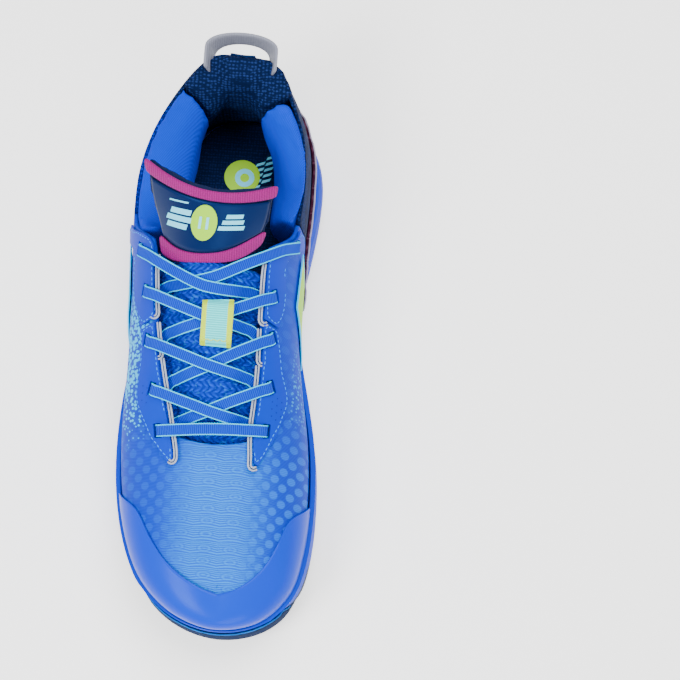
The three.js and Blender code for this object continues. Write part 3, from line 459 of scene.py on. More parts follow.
def braid_look():
    """Braided tongue cloth: slanting cords in rows, with a few light flecks between them."""
    look = new_look("tongue_braid", BLUE, 0.8, Specular_IOR_Level=0.2)
    x, y, _ = look.split(look.coords())
    row = look.math("FLOOR", look.math("DIVIDE", y, BRAID_ROW))
    flip = look.linear(look.math("PINGPONG", row, 1.0), 2.0, -1.0)
    slant = look.plus(x, look.times(y, look.times(flip, BRAID_SLANT)))
    wander = look.noise(look.coords(), 0.22, 2)
    cord = look.stripes(look.plus(slant, look.times(wander, 3.0)), BRAID_CORD)
    rows = look.stripes(y, BRAID_ROW)
    height = look.times(look.math("POWER", cord, 0.7), look.linear(rows, 0.6, 0.4))
    fleck = look.ramp(look.cells(look.coords(scale=(1, 1.6, 0.4)), 0.4, "F1", 1.0), 0.62, 0.86)
    cloth = look.mix(height, (0.0, 0.013, 0.26), (0.0, 0.05, 0.66))
    tone(look, look.mix(look.times(fleck, 0.3), cloth, (0.01, 0.3, 0.95)), 12, 0.08)
    look.bump(height, 1.0, 0.9)
    return look


def lace_look():
    """Flat lace: fine ribs across, raised aqua cords along both edges."""
    look = new_look("lace_weave", BRIGHT_BLUE, 0.75, Specular_IOR_Level=0.2)
    u, v, _ = look.split(look.coords("UV"))
    edge = look.ramp(look.math("ABSOLUTE", look.minus(u, 0.5)), 0.385, 0.415)
    rib = look.stripes(v, 0.105)
    twist = look.stripes(look.plus(v, look.times(u, 0.9)), 0.13)
    body = look.mix(rib, (0.0, 0.018, 0.34), (0.0, 0.055, 0.6))
    cord = look.mix(twist, (0.0, 0.34, 0.8), (0.04, 0.8, 0.98))
    tone(look, look.mix(edge, body, cord), 14, 0.07)
    relief = look.plus(look.times(rib, look.minus(1.0, edge)),
                       look.times(twist, edge))
    look.bump(relief, 0.18, 0.8)
    return look


def keeper_look():
    """Woven tab: aqua middle with fine ribs, yellow selvedges."""
    look = new_look("keeper_weave", KEEPER_AQUA, 0.6, Specular_IOR_Level=0.25)
    x, y, _ = look.split(look.coords())
    low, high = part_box("lace_keeper")
    middle = 500 * (low.x + high.x)
    half = 500 * (high.x - low.x)
    edge = look.ramp(look.math("ABSOLUTE", look.minus(x, middle)), 0.62 * half, 0.66 * half)
    rib = look.stripes(y, 1.05)
    fine = look.stripes(x, 0.5)
    centre = look.mix(rib, (0.02, 0.5, 0.55), (0.07, 0.85, 0.82))
    border = look.mix(fine, (0.5, 0.72, 0.0), YELLOW)
    tone(look, look.mix(edge, centre, border), 8, 0.06)
    look.bump(look.plus(look.times(rib, 0.8), look.times(fine, 0.3)), 0.14, 0.8)
    return look


# key: (material, colour, roughness, tone, grain, specular level)
FILMS = {
    "board": ("board", (0.3, 0.3, 0.32), 0.9, 0.05, 0.35, 0.5),
    "counter": ("counter", (0.4, 0.4, 0.42), 0.7, 0.05, 0.35, 0.5),
    "shank": ("shank_plastic", (0.01, 0.02, 0.08), 0.4, 0.05, 0.35, 0.5),
    "overlay": ("overlay_film", (0.0, 0.027, 0.46), 0.5, 0.05, 0.2, 0.15),
    "outsole": ("outsole_rubber", (0.004, 0.014, 0.055), 0.75, 0.06, 0.35, 0.04),
    "outsole_line": ("outsole_line", (0.0, 0.13, 0.5), 0.6, 0.05, 0.35, 0.1),
    # painted shade inside the bumper's vent holes
    "vent": ("vent_hole", (0.002, 0.003, 0.01), 0.8, 0.05, 0.35, 0.5),
    # painted highlight for the heel cage's top edge
    "cage_edge": ("cage_edge", (0.3, 0.26, 0.36), 0.35, 0.05, 0.1, 0.5),
    "lime": ("lime_film", LIME, 0.5, 0.04, 0.15, 0.2),
    "aqua": ("aqua_film", AQUA, 0.55, 0.04, 0.15, 0.3),
    "pale": ("pale_print", PALE, 0.55, 0.04, 0.15, 0.3),
    "label": ("label_film", (0.003, 0.009, 0.055), 0.4, 0.05, 0.2, 0.25),
    "lime_print": ("lime_print", LIME, 0.55, 0.04, 0.15, 0.3),
    "piping_gap": ("piping_gap", (0.004, 0.01, 0.06), 0.7, 0.05, 0.35, 0.5),
    "thread_light": ("thread_light", (0.01, 0.26, 0.85), 0.7, 0.05, 0.35, 0.5),
    # dark thread for seams, and painted shade in the eyestay holes
    "thread_dark": ("thread_dark", (0.002, 0.01, 0.16), 0.7, 0.05, 0.35, 0.5),
    "thread_yellow": ("thread_yellow", (0.6, 0.75, 0.02), 0.7, 0.05, 0.35, 0.5),
    "aglet": ("aglet_plastic", (0.01, 0.07, 0.6), 0.3, 0.05, 0.35, 0.5),
}


def make_looks():
    films = {
        key: smooth_look(*values[:-1],
                         Specular_IOR_Level=values[-1]) for key, values in FILMS.items()
    }
    return films | {
        "mesh": mesh_look(),
        "braid": braid_look(),
        "lace": lace_look(),
        "keeper": keeper_look(),
        "midsole": foam_look(),
        "collar": twill_look("collar_twill", BRIGHT_BLUE, 0.85, 38, 0.14, 0.8),
        "tongue_knit": twill_look("tongue_rim_knit", NAVY, 0.8, 20, 0.2),
        "heel_knit": knit_look("heel_knit", NAVY, (0.016, 0.034, 0.14)),
        "quarter": knit_look("quarter_mesh", NAVY, LIGHT_NAVY, 1.6, 0.3),
        # painted shade: the lateral quarter darkens from blue to navy towards the heel
        "quarter_blue": knit_look("quarter_mesh_blue", DARK_BLUE, BLUE, 1.6, 0.3,
                                  (NAVY, LIGHT_NAVY)),
        "insole": knit_look("insole_knit", NAVY, (0.009, 0.016, 0.075), 1.2, 0.12),
        "toe_film": smooth_look("toe_film", BRIGHT_BLUE, 0.36, 0.03, 0.08, Coat_Weight=0.06,
                                Coat_Roughness=0.2, Specular_IOR_Level=0.18),
        "cage": smooth_look("cage_film", PLUM, 0.32, 0.05, 0.12, Specular_IOR_Level=0.3,
                            Specular_Tint=(0.7, 0.3, 0.5, 1)),
        "trim": rib_look("magenta_rib", MAGENTA, 0, 1.15, 0.35, 0.6),
        "loop": rib_look("silver_webbing", SILVER, 0, 0.9, 0.2, 0.8, 0.5),
        "piping": rib_look("silver_piping", (0.36, 0.4, 0.5), 1, 0.9, 0.12, 0.85, 0.4),
    }


# ---------------------------------------------------------------- shaping helpers
def activate(obj):
    if bpy.context.object and bpy.context.object.mode != "OBJECT":
        bpy.ops.object.mode_set(mode="OBJECT")
    bpy.ops.object.select_all(action="DESELECT")
    obj.select_set(True)
    bpy.context.view_layer.objects.active = obj


def edit_all(obj, operator, **settings):
    """Runs a mesh operator on the whole of a piece."""
    activate(obj)
    bpy.ops.object.mode_set(mode="EDIT")
    bpy.ops.mesh.select_all(action="SELECT")
    operator(**settings)
    bpy.ops.object.mode_set(mode="OBJECT")


def apply(obj, kind, **settings):
    activate(obj)
    modifier = obj.modifiers.new(kind.lower(), kind)
    for key, value in settings.items():
        setattr(modifier, key, value)
    bpy.ops.object.modifier_apply(modifier=modifier.name)


def copy_of(node, name):
    """A clean copy of a CAD node: merged, with its triangles joined to quads."""
    source = nodes[node]
    obj = bpy.data.objects.new(name, source.data.copy())
    bpy.context.scene.collection.objects.link(obj)
    obj.data.materials.clear()
    edit_all(obj, bpy.ops.mesh.remove_doubles, threshold=WELD)
    edit_all(obj, bpy.ops.mesh.tris_convert_to_quads,
             face_threshold=math.radians(50), shape_threshold=math.radians(170))
    return obj


def welded(node):
    """A CAD node's mesh as a bmesh with its loose corners joined; the caller frees it."""
    mesh = bmesh.new()
    mesh.from_mesh(node.data)
    bmesh.ops.remove_doubles(mesh, verts=mesh.verts, dist=WELD)
    return mesh


def crease_sharp(obj, angle, weight=1.0):
    """Creases edges sharper than angle, so that subdivision keeps them."""
    mesh = bmesh.new()
    mesh.from_mesh(obj.data)
    layer = mesh.edges.layers.float.get("crease_edge") or mesh.edges.layers.float.new("crease_edge")
    for edge in mesh.edges:
        if len(edge.link_faces) == 2 and edge.calc_face_angle(0) > math.radians(angle):
            edge[layer] = weight
    mesh.to_mesh(obj.data)
    mesh.free()


def refine(obj, angle=48, weight=0.9, levels=2):
    crease_sharp(obj, angle, weight)
    apply(obj, "SUBSURF", levels=levels, render_levels=levels)


def shade(obj, angle=40):
    activate(obj)
    bpy.ops.object.shade_smooth_by_angle(angle=math.radians(angle))


def finish_piece(obj, look, body=SHOE, replaced=(), angle=40):
    obj.data.materials.clear()
    obj.data.materials.append(look.material)
    shade(obj, angle)
    if body:
        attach(obj, body)
    if replaced:
        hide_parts(*replaced)
    return obj


def smooth_piece(node, name, look, body=SHOE, angle=48, weight=0.9, levels=2):
    obj = copy_of(node, name)
    refine(obj, angle, weight, levels)
    return finish_piece(obj, look, body, (node,))


def push_out(obj, distance):
    """Moves each point along its normal by distance(place in mm, normal) millimetres."""
    normals = [v.normal.copy() for v in obj.data.vertices]
    for v, normal in zip(obj.data.vertices, normals):
        v.co += normal * distance(v.co / MM, normal) * MM


def mesh_object(name, vertices, faces):
    data = bpy.data.meshes.new(name)
    data.from_pydata([tuple(v) for v in vertices], [], faces)
    obj = bpy.data.objects.new(name, data)
    bpy.context.scene.collection.objects.link(obj)
    return obj


def surface_of(*pieces):
    mesh = bmesh.new()
    for piece in pieces:
        mesh.from_mesh(piece.data)
    tree = BVHTree.FromBMesh(mesh)
    mesh.free()
    return tree


def catmull(points, steps):
    """Points on a smooth curve through the given ones, steps to each span."""
    pts = [Vector(p) for p in points]
    result = []
    for i in range(len(pts) - 1):
        a, b, c, d = pts[max(0, i - 1)], pts[i], pts[i + 1], pts[min(len(pts) - 1, i + 2)]
        for k in range(steps):
            t = k / steps
            result.append(0.5 * (2 * b + (c - a) * t + (2 * a - 5 * b + 4 * c - d) * t ** 2
                                 + (3 * b - a - 3 * c + d) * t ** 3))
    result.append(pts[-1])
    return result


def evenly(points, spacing):
    """Points every spacing along a polyline."""
    lengths = np.cumsum([0] + [(b - a).length for a, b in zip(points, points[1:])])
    count = max(2, int(round(lengths[-1] / spacing)) + 1)
    co = np.array([tuple(p) for p in points])
    at = np.linspace(0, lengths[-1], count)
    return [Vector(v) for v in np.stack([np.interp(at, lengths, co[:, k]) for k in range(3)], 1)]


def relaxed(points, rounds, closed=False):
    """Points drawn towards the middle of their neighbours; an open line keeps its ends."""
    for _ in range(rounds):
        before, after = points[-1:] + points[:-1], points[1:] + points[:1]
        drawn = [(a + 2 * b + c) / 4 for a, b, c in zip(before, points, after)]
        points = drawn if closed else points[:1] + drawn[1:-1] + points[-1:]
    return points


def tube(name, points, radius, sides=8, closed=False, flat=1.0, normals=None):
    """Round or flattened tube with rounded ends through points."""
    count = len(points)
    vertices, faces = [], []
    for i, p in enumerate(points):
        before = points[(i - 1) % count] if closed else points[max(0, i - 1)]
        after = points[(i + 1) % count] if closed else points[min(count - 1, i + 1)]
        tangent = (after - before).normalized()
        up = normals[i] if normals else Vector((0, 0, 1))
        side = tangent.cross(up).normalized()
        up = side.cross(tangent).normalized()
        for k in range(sides):
            angle = 2 * math.pi * k / sides
            vertices.append(p + side * radius * math.cos(angle)
                            + up * radius * flat * math.sin(angle))
    rings = count if closed else count - 1
    for i in range(rings):
        for k in range(sides):
            a, b = i * sides + k, i * sides + (k + 1) % sides
            c, d = ((i + 1) % count) * sides + (k + 1) % sides, ((i + 1) % count) * sides + k
            faces.append((a, d, c, b))
    if not closed:
        for ring, inner in ((0, 1), (count - 1, count - 2)):
            tip = len(vertices)
            out = (points[ring] - points[inner]).normalized() * radius * 0.7
            vertices.append(points[ring] + out)
            for k in range(sides):
                a, b = ring * sides + k, ring * sides + (k + 1) % sides
                faces.append((a, b, tip) if ring == 0 else (b, a, tip))
    return mesh_object(name, vertices, faces)


def rim_path(obj, outward_of, spacing=1.2 * MM):
    """Outline of a sheet's outer face, in order: its sharp edges beside faces along outward_of."""
    mesh = welded(obj)
    mesh.edges.index_update()
    left = {}
    for edge in mesh.edges:
        if len(edge.link_faces) != 2 or edge.calc_face_angle(0) < math.radians(50):
            continue
        if any(face.normal.dot(outward_of(edge)) > 0.5 for face in edge.link_faces):
            left[edge.index] = edge
    loops = []
    while left:
        chain = list(left.pop(min(left)).verts)
        for _ in range(2):    # one end grows, then the other, always straight on
            while True:
                tip, ahead = chain[-1], chain[-1].co - chain[-2].co
                near = [edge for edge in tip.link_edges if edge.index in left]
                if not near:
                    break
                best = max(near, key=lambda e: ahead.dot((e.other_vert(tip).co - tip.co).normalized()))
                chain.append(best.other_vert(tip))
                del left[best.index]
            chain.reverse()
        loops.append([v.co.copy() for v in chain])
    mesh.free()
    longest = max(loops, key=lambda c: sum((b - a).length for a, b in zip(c, c[1:])))
    return evenly(longest, spacing)


def bead(sides=8, rings=5):
    """A small rounded form of unit half-size: one stitch, dot or stud."""
    bpy.ops.object.select_all(action="DESELECT")
    bpy.ops.mesh.primitive_uv_sphere_add(segments=sides, ring_count=rings, radius=1)
    obj = bpy.context.object
    co = np.array([v.co[:] for v in obj.data.vertices])
    faces = [tuple(p.vertices) for p in obj.data.polygons]
    bpy.data.objects.remove(obj)
    return co, faces


def scatter(name, places, look, body=SHOE, sides=8, rings=5):
    """Beads copied to places: (centre, along, out, half sizes in mm)."""
    shape, shape_faces = bead(sides, rings)
    vertices, faces = [], []
    for centre, along, out, half in places:
        across = out.cross(along).normalized()
        along = across.cross(out).normalized()
        turn = np.array([along[:], across[:], out.normalized()[:]])
        start = len(vertices)
        vertices.extend((shape * np.array(half) * MM) @ turn + np.array(centre[:]))
        faces.extend(tuple(start + i for i in face) for face in shape_faces)
    obj = mesh_object(name, vertices, faces)
    return finish_piece(obj, look, body)


def seam(points, surface, pitch, half, lift=0.0):
    """Places of a row of stitches along points, each on the surface."""
    path = evenly(points, pitch * MM)
    places = []
    for a, b in zip(path, path[1:]):
        hit, normal, _, _ = surface.find_nearest((a + b) / 2)
        if hit is not None:
            places.append((hit + normal * lift * MM, b - a, normal, half))
    return places


def set_in(points, surface, inset):
    """A closed outline moved inwards over the surface by inset millimetres."""
    count = len(points)
    middle = sum(points, Vector()) / count
    moved = []
    for i, p in enumerate(points):
        hit, normal, _, _ = surface.find_nearest(p)
        along = (points[(i + 2) % count] - points[i - 2]).normalized()
        side = normal.cross(along).normalized()
        if side.dot(middle - p) < 0:
            side.negate()
        moved.append(hit + side * inset * MM)
    return relaxed(moved, 6, closed=True)


class Face:
    """A place on a finished surface for flat shapes, in mm across and up from its centre."""

    def __init__(self, piece, centre, out, up):
        self.surface = surface_of(piece)
        self.out = out.normalized()
        self.across = up.cross(self.out).normalized()
        self.up = self.out.cross(self.across)
        self.centre = centre

    def at(self, across, up, lift=0.0):
        start = self.centre + (self.across * across + self.up * up + self.out * 20) * MM
        hit, normal, _, _ = self.surface.ray_cast(start, -self.out, 0.06)
        if hit is None:
            hit, normal, _, _ = self.surface.find_nearest(start - self.out * 20 * MM)
        return hit + normal * lift * MM


def patch(name, face, shapes, look, slot, body=SHOE, thick=0.3, grid=(12, 8)):
    """Thin shapes laid on a surface, each a function from the square -1..1 to mm on the face."""
    vertices, faces = [], []
    for shape in shapes:
        bpy.ops.object.select_all(action="DESELECT")
        bpy.ops.mesh.primitive_grid_add(x_subdivisions=grid[0], y_subdivisions=grid[1], size=2)
        square = bpy.context.object
        start = len(vertices)
        vertices.extend(face.at(*shape(v.co.x, v.co.y), 0.03) for v in square.data.vertices)
        faces.extend(tuple(start + i for i in p.vertices) for p in square.data.polygons)
        bpy.data.objects.remove(square)
    obj = mesh_object(name, vertices, faces)
    edit_all(obj, bpy.ops.mesh.remove_doubles, threshold=1e-5)
    apply(obj, "SOLIDIFY", thickness=thick * MM, offset=1.0)
    return finish_piece(obj, look, body)


def oval(across, up, half_across, half_up, lean=0.0):
    def shape(u, v):
        x, y = u * math.sqrt(1 - v * v / 2), v * math.sqrt(1 - u * u / 2)
        return across + half_across * x + lean * half_up * y, up + half_up * y
    return shape


def bar(across, up, width, height, lean=0.0):
    def shape(u, v):
        return across + width * u / 2 + lean * height * v / 2, up + height * v / 2
    return shape


def ring(across, up, inner, outer, start=-1.0, end=1.0):
    def shape(u, v):
        angle = math.pi * (start + (end - start) * (u + 1) / 2)
        radius = inner + (outer - inner) * (v + 1) / 2
        return across + radius * math.sin(angle), up + radius * math.cos(angle)
    return shape


def plump(obj, voxel, pressure, cap, even=4):
    """Fills a pad: one even skin, blown up as cloth, no point moved by more than cap."""
    apply(obj, "REMESH", mode="VOXEL", voxel_size=voxel * MM)
    apply(obj, "SMOOTH", factor=0.5, iterations=even)
    rest = np.array([v.co[:] for v in obj.data.vertices])
    activate(obj)
    cloth = obj.modifiers.new("fill", "CLOTH")
    cloth.settings.use_pressure = True
    cloth.settings.uniform_pressure_force = pressure
    cloth.settings.mass = 0.05
    cloth.settings.effector_weights.gravity = 0
    cloth.collision_settings.use_collision = False
    for step in range(1, 21):
        bpy.context.scene.frame_set(step)
    bpy.ops.object.modifier_apply(modifier=cloth.name)
    moved = np.array([v.co[:] for v in obj.data.vertices]) - rest
    length = np.maximum(np.linalg.norm(moved, axis=1, keepdims=True), 1e-9)
    moved *= np.minimum(1, cap * MM / length)
    obj.data.vertices.foreach_set("co", (rest + moved).ravel())
    bpy.context.scene.frame_set(1)
    apply(obj, "SUBSURF", levels=1, render_levels=1)


def pad_piece(node, name, look, body, voxel=3.0, pressure=4, cap=1.6, shape=None):
    obj = copy_of(node, name)
    if shape:
        shape(obj)
    plump(obj, voxel, pressure, cap)
    finish_piece(obj, look, body, (node,), 80)
    return obj


def rise(value, low, high):
    """0 below low, 1 above high, smooth between."""
    t = min(1.0, max(0.0, (value - low) / (high - low)))
    return t * t * (3 - 2 * t)


# ---------------------------------------------------------------- lace
def ribbon_runs(node):
    """Cross-sections of a ribbon node, each run in order: (centre, width direction)."""
    mesh = welded(nodes[node])
    mesh.verts.ensure_lookup_table()
    width, thick = LACE_WIDTH * MM, LACE_THICKNESS * MM
    parent = list(range(len(mesh.verts)))

    def root(i):
        while parent[i] != i:
            i = parent[i]
        return i

    for edge in mesh.edges:
        length = edge.calc_length()
        if abs(length - width) < 8e-6 or abs(length - thick) < 8e-6:
            parent[root(edge.verts[0].index)] = root(edge.verts[1].index)
    rings = {}
    for i in range(len(mesh.verts)):
        rings.setdefault(root(i), []).append(i)
    rings = {k: v for k, v in rings.items() if len(v) == 4}
    near = {k: set() for k in rings}
    for edge in mesh.edges:
        a, b = root(edge.verts[0].index), root(edge.verts[1].index)
        if a != b and a in rings and b in rings:
            near[a].add(b)
            near[b].add(a)
    runs, seen = [], set()
    for end in [k for k in rings if len(near[k]) == 1]:
        if end in seen:
            continue
        order = [end]
        seen.add(end)
        while True:
            ahead = [k for k in near[order[-1]] if k not in seen]
            if not ahead:
                break
            order.append(ahead[0])
            seen.add(ahead[0])
        frames = []
        for key in order:
            co = [mesh.verts[i].co.copy() for i in rings[key]]
            centre = sum(co, Vector()) / 4
            other = min(co[1:], key=lambda c: abs((c - co[0]).length - width))
            frames.append((centre, (other - co[0]).normalized()))
        runs.append(frames)
    mesh.free()
    return runs


def one_line(runs):
    """The runs joined end to end at their nearest ends, with the width direction never flipping."""
    line = runs.pop(0)
    while runs:
        gaps = []
        for i, run in enumerate(runs):
            for at_start in (True, False):
                for turned in (True, False):
                    tip = line[0][0] if at_start else line[-1][0]
                    gaps.append(((run[-1 if turned else 0][0] - tip).length, i, at_start, turned))
        _, i, at_start, turned = min(gaps)
        run = runs.pop(i)
        run = run[::-1] if turned else run
        line = run[::-1] + line if at_start else line + run
    kept = [line[0]]
    for centre, across in line[1:]:
        if (centre - kept[-1][0]).length < 0.6 * MM:
            continue
        if across.dot(kept[-1][1]) < 0:
            across = -across
        kept.append((centre, across))
    return kept


def build_lace(look):
    """The lace again, on a smooth path, with beaded edges and a map along its length."""
    frames = one_line(ribbon_runs("lace"))
    steps = 3
    centres = catmull([f[0] for f in frames], steps)
    sides = [v.normalized() for v in catmull([f[1] for f in frames], steps)]
    # section: share of the half width across, millimetres up; a bead along each edge
    profile = [(-1.0, 0.0), (-0.985, 0.34), (-0.93, 0.54), (-0.86, 0.5), (-0.79, 0.33),
               (-0.6, 0.37), (0, 0.4), (0.6, 0.37),
               (0.79, 0.33), (0.86, 0.5), (0.93, 0.54), (0.985, 0.34), (1.0, 0.0),
               (0.985, -0.34), (0.93, -0.54), (0.86, -0.5), (0.79, -0.33), (0, -0.38),
               (-0.79, -0.33), (-0.86, -0.5), (-0.93, -0.54), (-0.985, -0.34)]
    count = len(profile)
    half = LACE_WIDTH / 2 * MM
    vertices, travel = [], [0.0]
    for i, centre in enumerate(centres):
        tangent = (centres[min(i + 1, len(centres) - 1)] - centres[max(i - 1, 0)]).normalized()
        side = (sides[i] - tangent * sides[i].dot(tangent)).normalized()
        normal = side.cross(tangent)
        if i:
            travel.append(travel[-1] + (centre - centres[i - 1]).length)
        for across, up in profile:
            vertices.append(centre + side * half * across + normal * up * MM)
    faces, maps = [], []
    for i in range(len(centres) - 1):
        for k in range(count):
            n = (k + 1) % count
            faces.append((i * count + k, i * count + n, (i + 1) * count + n, (i + 1) * count + k))
            u0, u1 = 0.5 + profile[k][0] / 2, 0.5 + profile[n][0] / 2
            v0, v1 = travel[i] * UV_PER_METRE, travel[i + 1] * UV_PER_METRE
            maps.append(((u0, v0), (u1, v0), (u1, v1), (u0, v1)))
    ends = [tuple(reversed(range(count))),
            tuple((len(centres) - 1) * count + k for k in range(count))]
    obj = mesh_object("lace_band", vertices, faces + ends)
    layer = obj.data.uv_layers.new(name="along")
    for polygon, places in zip(obj.data.polygons, maps):
        for loop, place in zip(polygon.loop_indices, places):
            layer.data[loop].uv = place
    for polygon in obj.data.polygons[len(maps):]:
        for loop in polygon.loop_indices:
            layer.data[loop].uv = (0.5, 0)
    edit_all(obj, bpy.ops.mesh.normals_make_consistent, inside=False)
    finish_piece(obj, look, SHOE, ("lace",), 60)


# ---------------------------------------------------------------- pieces
def braid_relief(u, v):
    """Relief of the braid, 0 to 1, at u mm across and v mm along: cords slanting in turn."""
    row = math.floor(v / BRAID_ROW)
    slant = u + v * (BRAID_SLANT if row % 2 else -BRAID_SLANT)
    cord = 0.5 + 0.5 * math.sin(2 * math.pi * slant / BRAID_CORD)
    return cord * (0.55 + 0.45 * math.sin(2 * math.pi * v / BRAID_ROW))


def build_tongue_cloth(look):
    """Braided tongue, its top end carried on to the padded tongue top."""
    obj = copy_of("tongue_body", "tongue_cloth")
    for v in obj.data.vertices:
        along = 0.75 * v.co.y + 0.66 * v.co.z
        v.co += Vector((0, 0.75, 0.66)) * 5.4 * MM * rise(along / MM, 68, 80)
        corner = rise(v.co.x / MM, -6, 8) * rise(v.co.y / MM, 4, 22)
        v.co += Vector((8.0, 0, -6.5)) * MM * corner
    refine(obj, 48, 0.6, 3)
    push_out(obj, lambda at, normal: 0.55 * (braid_relief(at.x, at.y) - 0.5)
             if normal.z > 0.3 else 0)
    finish_piece(obj, look, None, ("tongue_body",), 60)
    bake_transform(obj)


def build_sole(looks):
    smooth_piece("midsole", "midsole_foam", looks["midsole"], angle=55, weight=0.75)
    cup = smooth_piece("outsole", "outsole_cup", looks["outsole"], angle=60,
                       weight=0.6)
    smooth_piece("insole", "insole_bed", looks["insole"], angle=50, weight=0.5)
    build_bumper(cup, looks)
    build_tread(cup, looks)


def build_bumper(cup, looks):
    """A pale line along the top of the toe bumper and small vent holes under it, the holes drawn as
    near-black beads: painted shade inside them.
    """
    middle = Vector((3.0, -105.0, 0)) * MM    # centre that the bumper's wall is seen from
    step_angle, reach, below_top = 2.1, 0.12, 3.4
    wall = surface_of(cup)
    places, line = [], []
    for step in range(-27, 27):
        angle = math.radians(step * step_angle)
        out = Vector((math.sin(angle), -math.cos(angle), 0))
        for height in np.arange(42, 12, -0.4):
            start = middle + out * reach + Vector((0, 0, height * MM))
            hit, normal, _, _ = wall.ray_cast(start, -out, 0.11)
            if hit is not None and abs(normal.z) < 0.8:
                break
        if hit is None:
            continue
        line.append(hit + normal * 0.1 * MM)
        if step % 5 == 0:
            hit, normal, _, _ = wall.ray_cast(start - Vector((0, 0, below_top * MM)), -out, 0.2)
            places.append((hit, Vector((0, 0, 1)).cross(normal), normal, (1.3, 1.0, 0.35)))
    # painted shade: near-black beads on the wall stand for the shade inside the vent holes
    scatter("bumper_vents", places, looks["vent"], sides=12, rings=6)
    strip = tube("bumper_line", evenly(line, 1.5 * MM), 0.4 * MM, 6)
    finish_piece(strip, looks["outsole_line"])


def build_tread(cup, looks):
    """Herringbone ridges under the sole; the ground between them is lifted by their height."""
    depth, pitch, step, zigzag, wave = 1.2, 6.4, 2.5, 10.0, 5.0
    ridge = ((-1.1, 0.0), (1.1, 0.0), (1.6, 2.0), (-1.6, 2.0))    # section: along y, up
    ground = surface_of(cup)
    normals = [v.normal.copy() for v in cup.data.vertices]
    for v, normal in zip(cup.data.vertices, normals):
        if normal.z < -0.6:
            v.co.z += depth * MM
    low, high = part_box("outsole")
    vertices, faces = [], []
    for y in np.arange(low.y / MM + 7, high.y / MM - 5, pitch):
        row = []
        for x in np.arange(low.x / MM + 1, high.x / MM, step):
            phase = abs(((x / zigzag) % 2) - 1)
            at = Vector((x, y + wave * (phase - 0.5), -20)) * MM
            hit, normal, _, _ = ground.ray_cast(at, Vector((0, 0, 1)), 0.05)
            inside = hit is not None and normal.z < -0.6
            row.append(hit if inside else None)
        runs, run = [], []
        for hit in row + [None]:
            if hit is not None:
                run.append(hit)
            elif run:
                runs.append(run)
                run = []
        for run in runs:
            run = run[1:-1]
            if len(run) < 3:
                continue
            start = len(vertices)
            for hit in run:
                for dy, dz in ridge:
                    vertices.append(hit + Vector((0, dy, dz)) * MM)
            for i in range(len(run) - 1):
                for k in range(4):
                    p, q = start + 4 * i + k, start + 4 * i + (k + 1) % 4
                    faces.append((p, p + 4, q + 4, q))
            faces.append(tuple(start + k for k in range(4)))
            faces.append(tuple(start + 4 * (len(run) - 1) + k for k in reversed(range(4))))
    tread = mesh_object("sole_tread", vertices, faces)
    edit_all(tread, bpy.ops.mesh.normals_make_consistent, inside=False)
    finish_piece(tread, looks["outsole"], angle=30)


def build_insole_mark(looks):
    disc = copy_of("insole_badge", "insole_disc")
    finish_piece(disc, looks["lime_print"], SHOE, ("insole_badge",))
    centre = (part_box("insole_badge")[0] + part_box("insole_badge")[1]) / 2
    face = Face(disc, centre, Vector((0, 0, 1)), Vector((0, 1, 0)))
    patch("insole_ring", face, [ring(1.5, -0.6, 2.6, 5.4)], looks["pale"], "badge", thick=0.12,
          grid=(40, 3))
    patch("insole_dot", face, [oval(1.0, -0.2, 1.2, 0.9)], looks["lime_print"], "badge", thick=0.2)
    bed = Face(bpy.data.objects["insole_bed"], centre, Vector((0, 0, 1)), Vector((0, 1, 0)))
    dashes = []
    for row in range(5):
        for column in range(2):
            up = 8.5 - 3.4 * row + 2.2 * column
            dashes.append(bar(9.6 + 5.6 * column - 0.4 * row, up, 4.6, 1.5, 0.5))
    tilted = [lambda u, v, f=f: (f(u, v)[0], f(u, v)[1] + 0.4 * (f(u, v)[0] - 9.6)) for f in dashes]
    patch("insole_dashes", bed, tilted, looks["pale"], "badge", thick=0.35, grid=(3, 2))


def build_label(looks):
    film = smooth_piece("tongue_label", "tongue_badge_film", looks["label"], TONGUE,
                        weight=0.8)
    face = Face(film, Vector((-9.9, 40.5, 120.1)) * MM, Vector((0, -0.62, 0.78)),
                Vector((0, 0.78, 0.62)))
    blocks = [bar(-13.0 + 1.1 * row, -1.0 + 4.1 * row, 13.0 - 2.4 * abs(row), 3.0, 0.3)
              for row in (-1, 0, 1)]
    blocks += [bar(13.4 + 0.9 * row, -3.4 + 3.2 * row, 12.6 - 2.2 * row, 2.2, 0.3)
               for row in (0, 1, 2)]
    blocks.append(bar(-13.0, 8.4, 10.0, 0.8, 0.3))
    patch("tongue_blocks", face, blocks, looks["pale"], "tongue_film", TONGUE, 0.28, (6, 5))
    patch("tongue_oval", face, [oval(0, -1.0, 6.6, 9.8, 0.1)], looks["lime_print"], "tongue_film",
          TONGUE, 0.4)
    strokes = [bar(-1.9, -1.0, 1.3, 6.6, 0.12), bar(1.7, -1.0, 1.3, 6.6, 0.12)]
    patch("tongue_strokes", face, strokes, looks["pale"], "tongue_film", TONGUE, 0.62, (2, 6))


def build_tongue_top(looks):
    pad_piece("tongue_pad", "tongue_top_pad", looks["tongue_knit"], TONGUE,
              2.2, 4, 1.2)
    build_label(looks)
    for node, name in (("tongue_trim_upper", "rim_band"), ("tongue_trim_lower", "foot_band")):
        obj = copy_of(node, name)
        refine(obj, 60, 0.2, 2)
        push_out(obj, lambda at, normal: 0.55)    # a thin band reads as a padded one
        finish_piece(obj, looks["trim"], TONGUE, (node,), 80)


def widen_heel(obj):
    """The heel pad swells over the shell at both sides of its top."""
    for v in obj.data.vertices:
        x, y, z = v.co / MM
        high = rise(z, 78, 93) * rise(y, 112, 128)
        v.co.x += (4.2 * rise(x, 2, 14) - 2.0 * rise(-x, 14, 26)) * high * MM


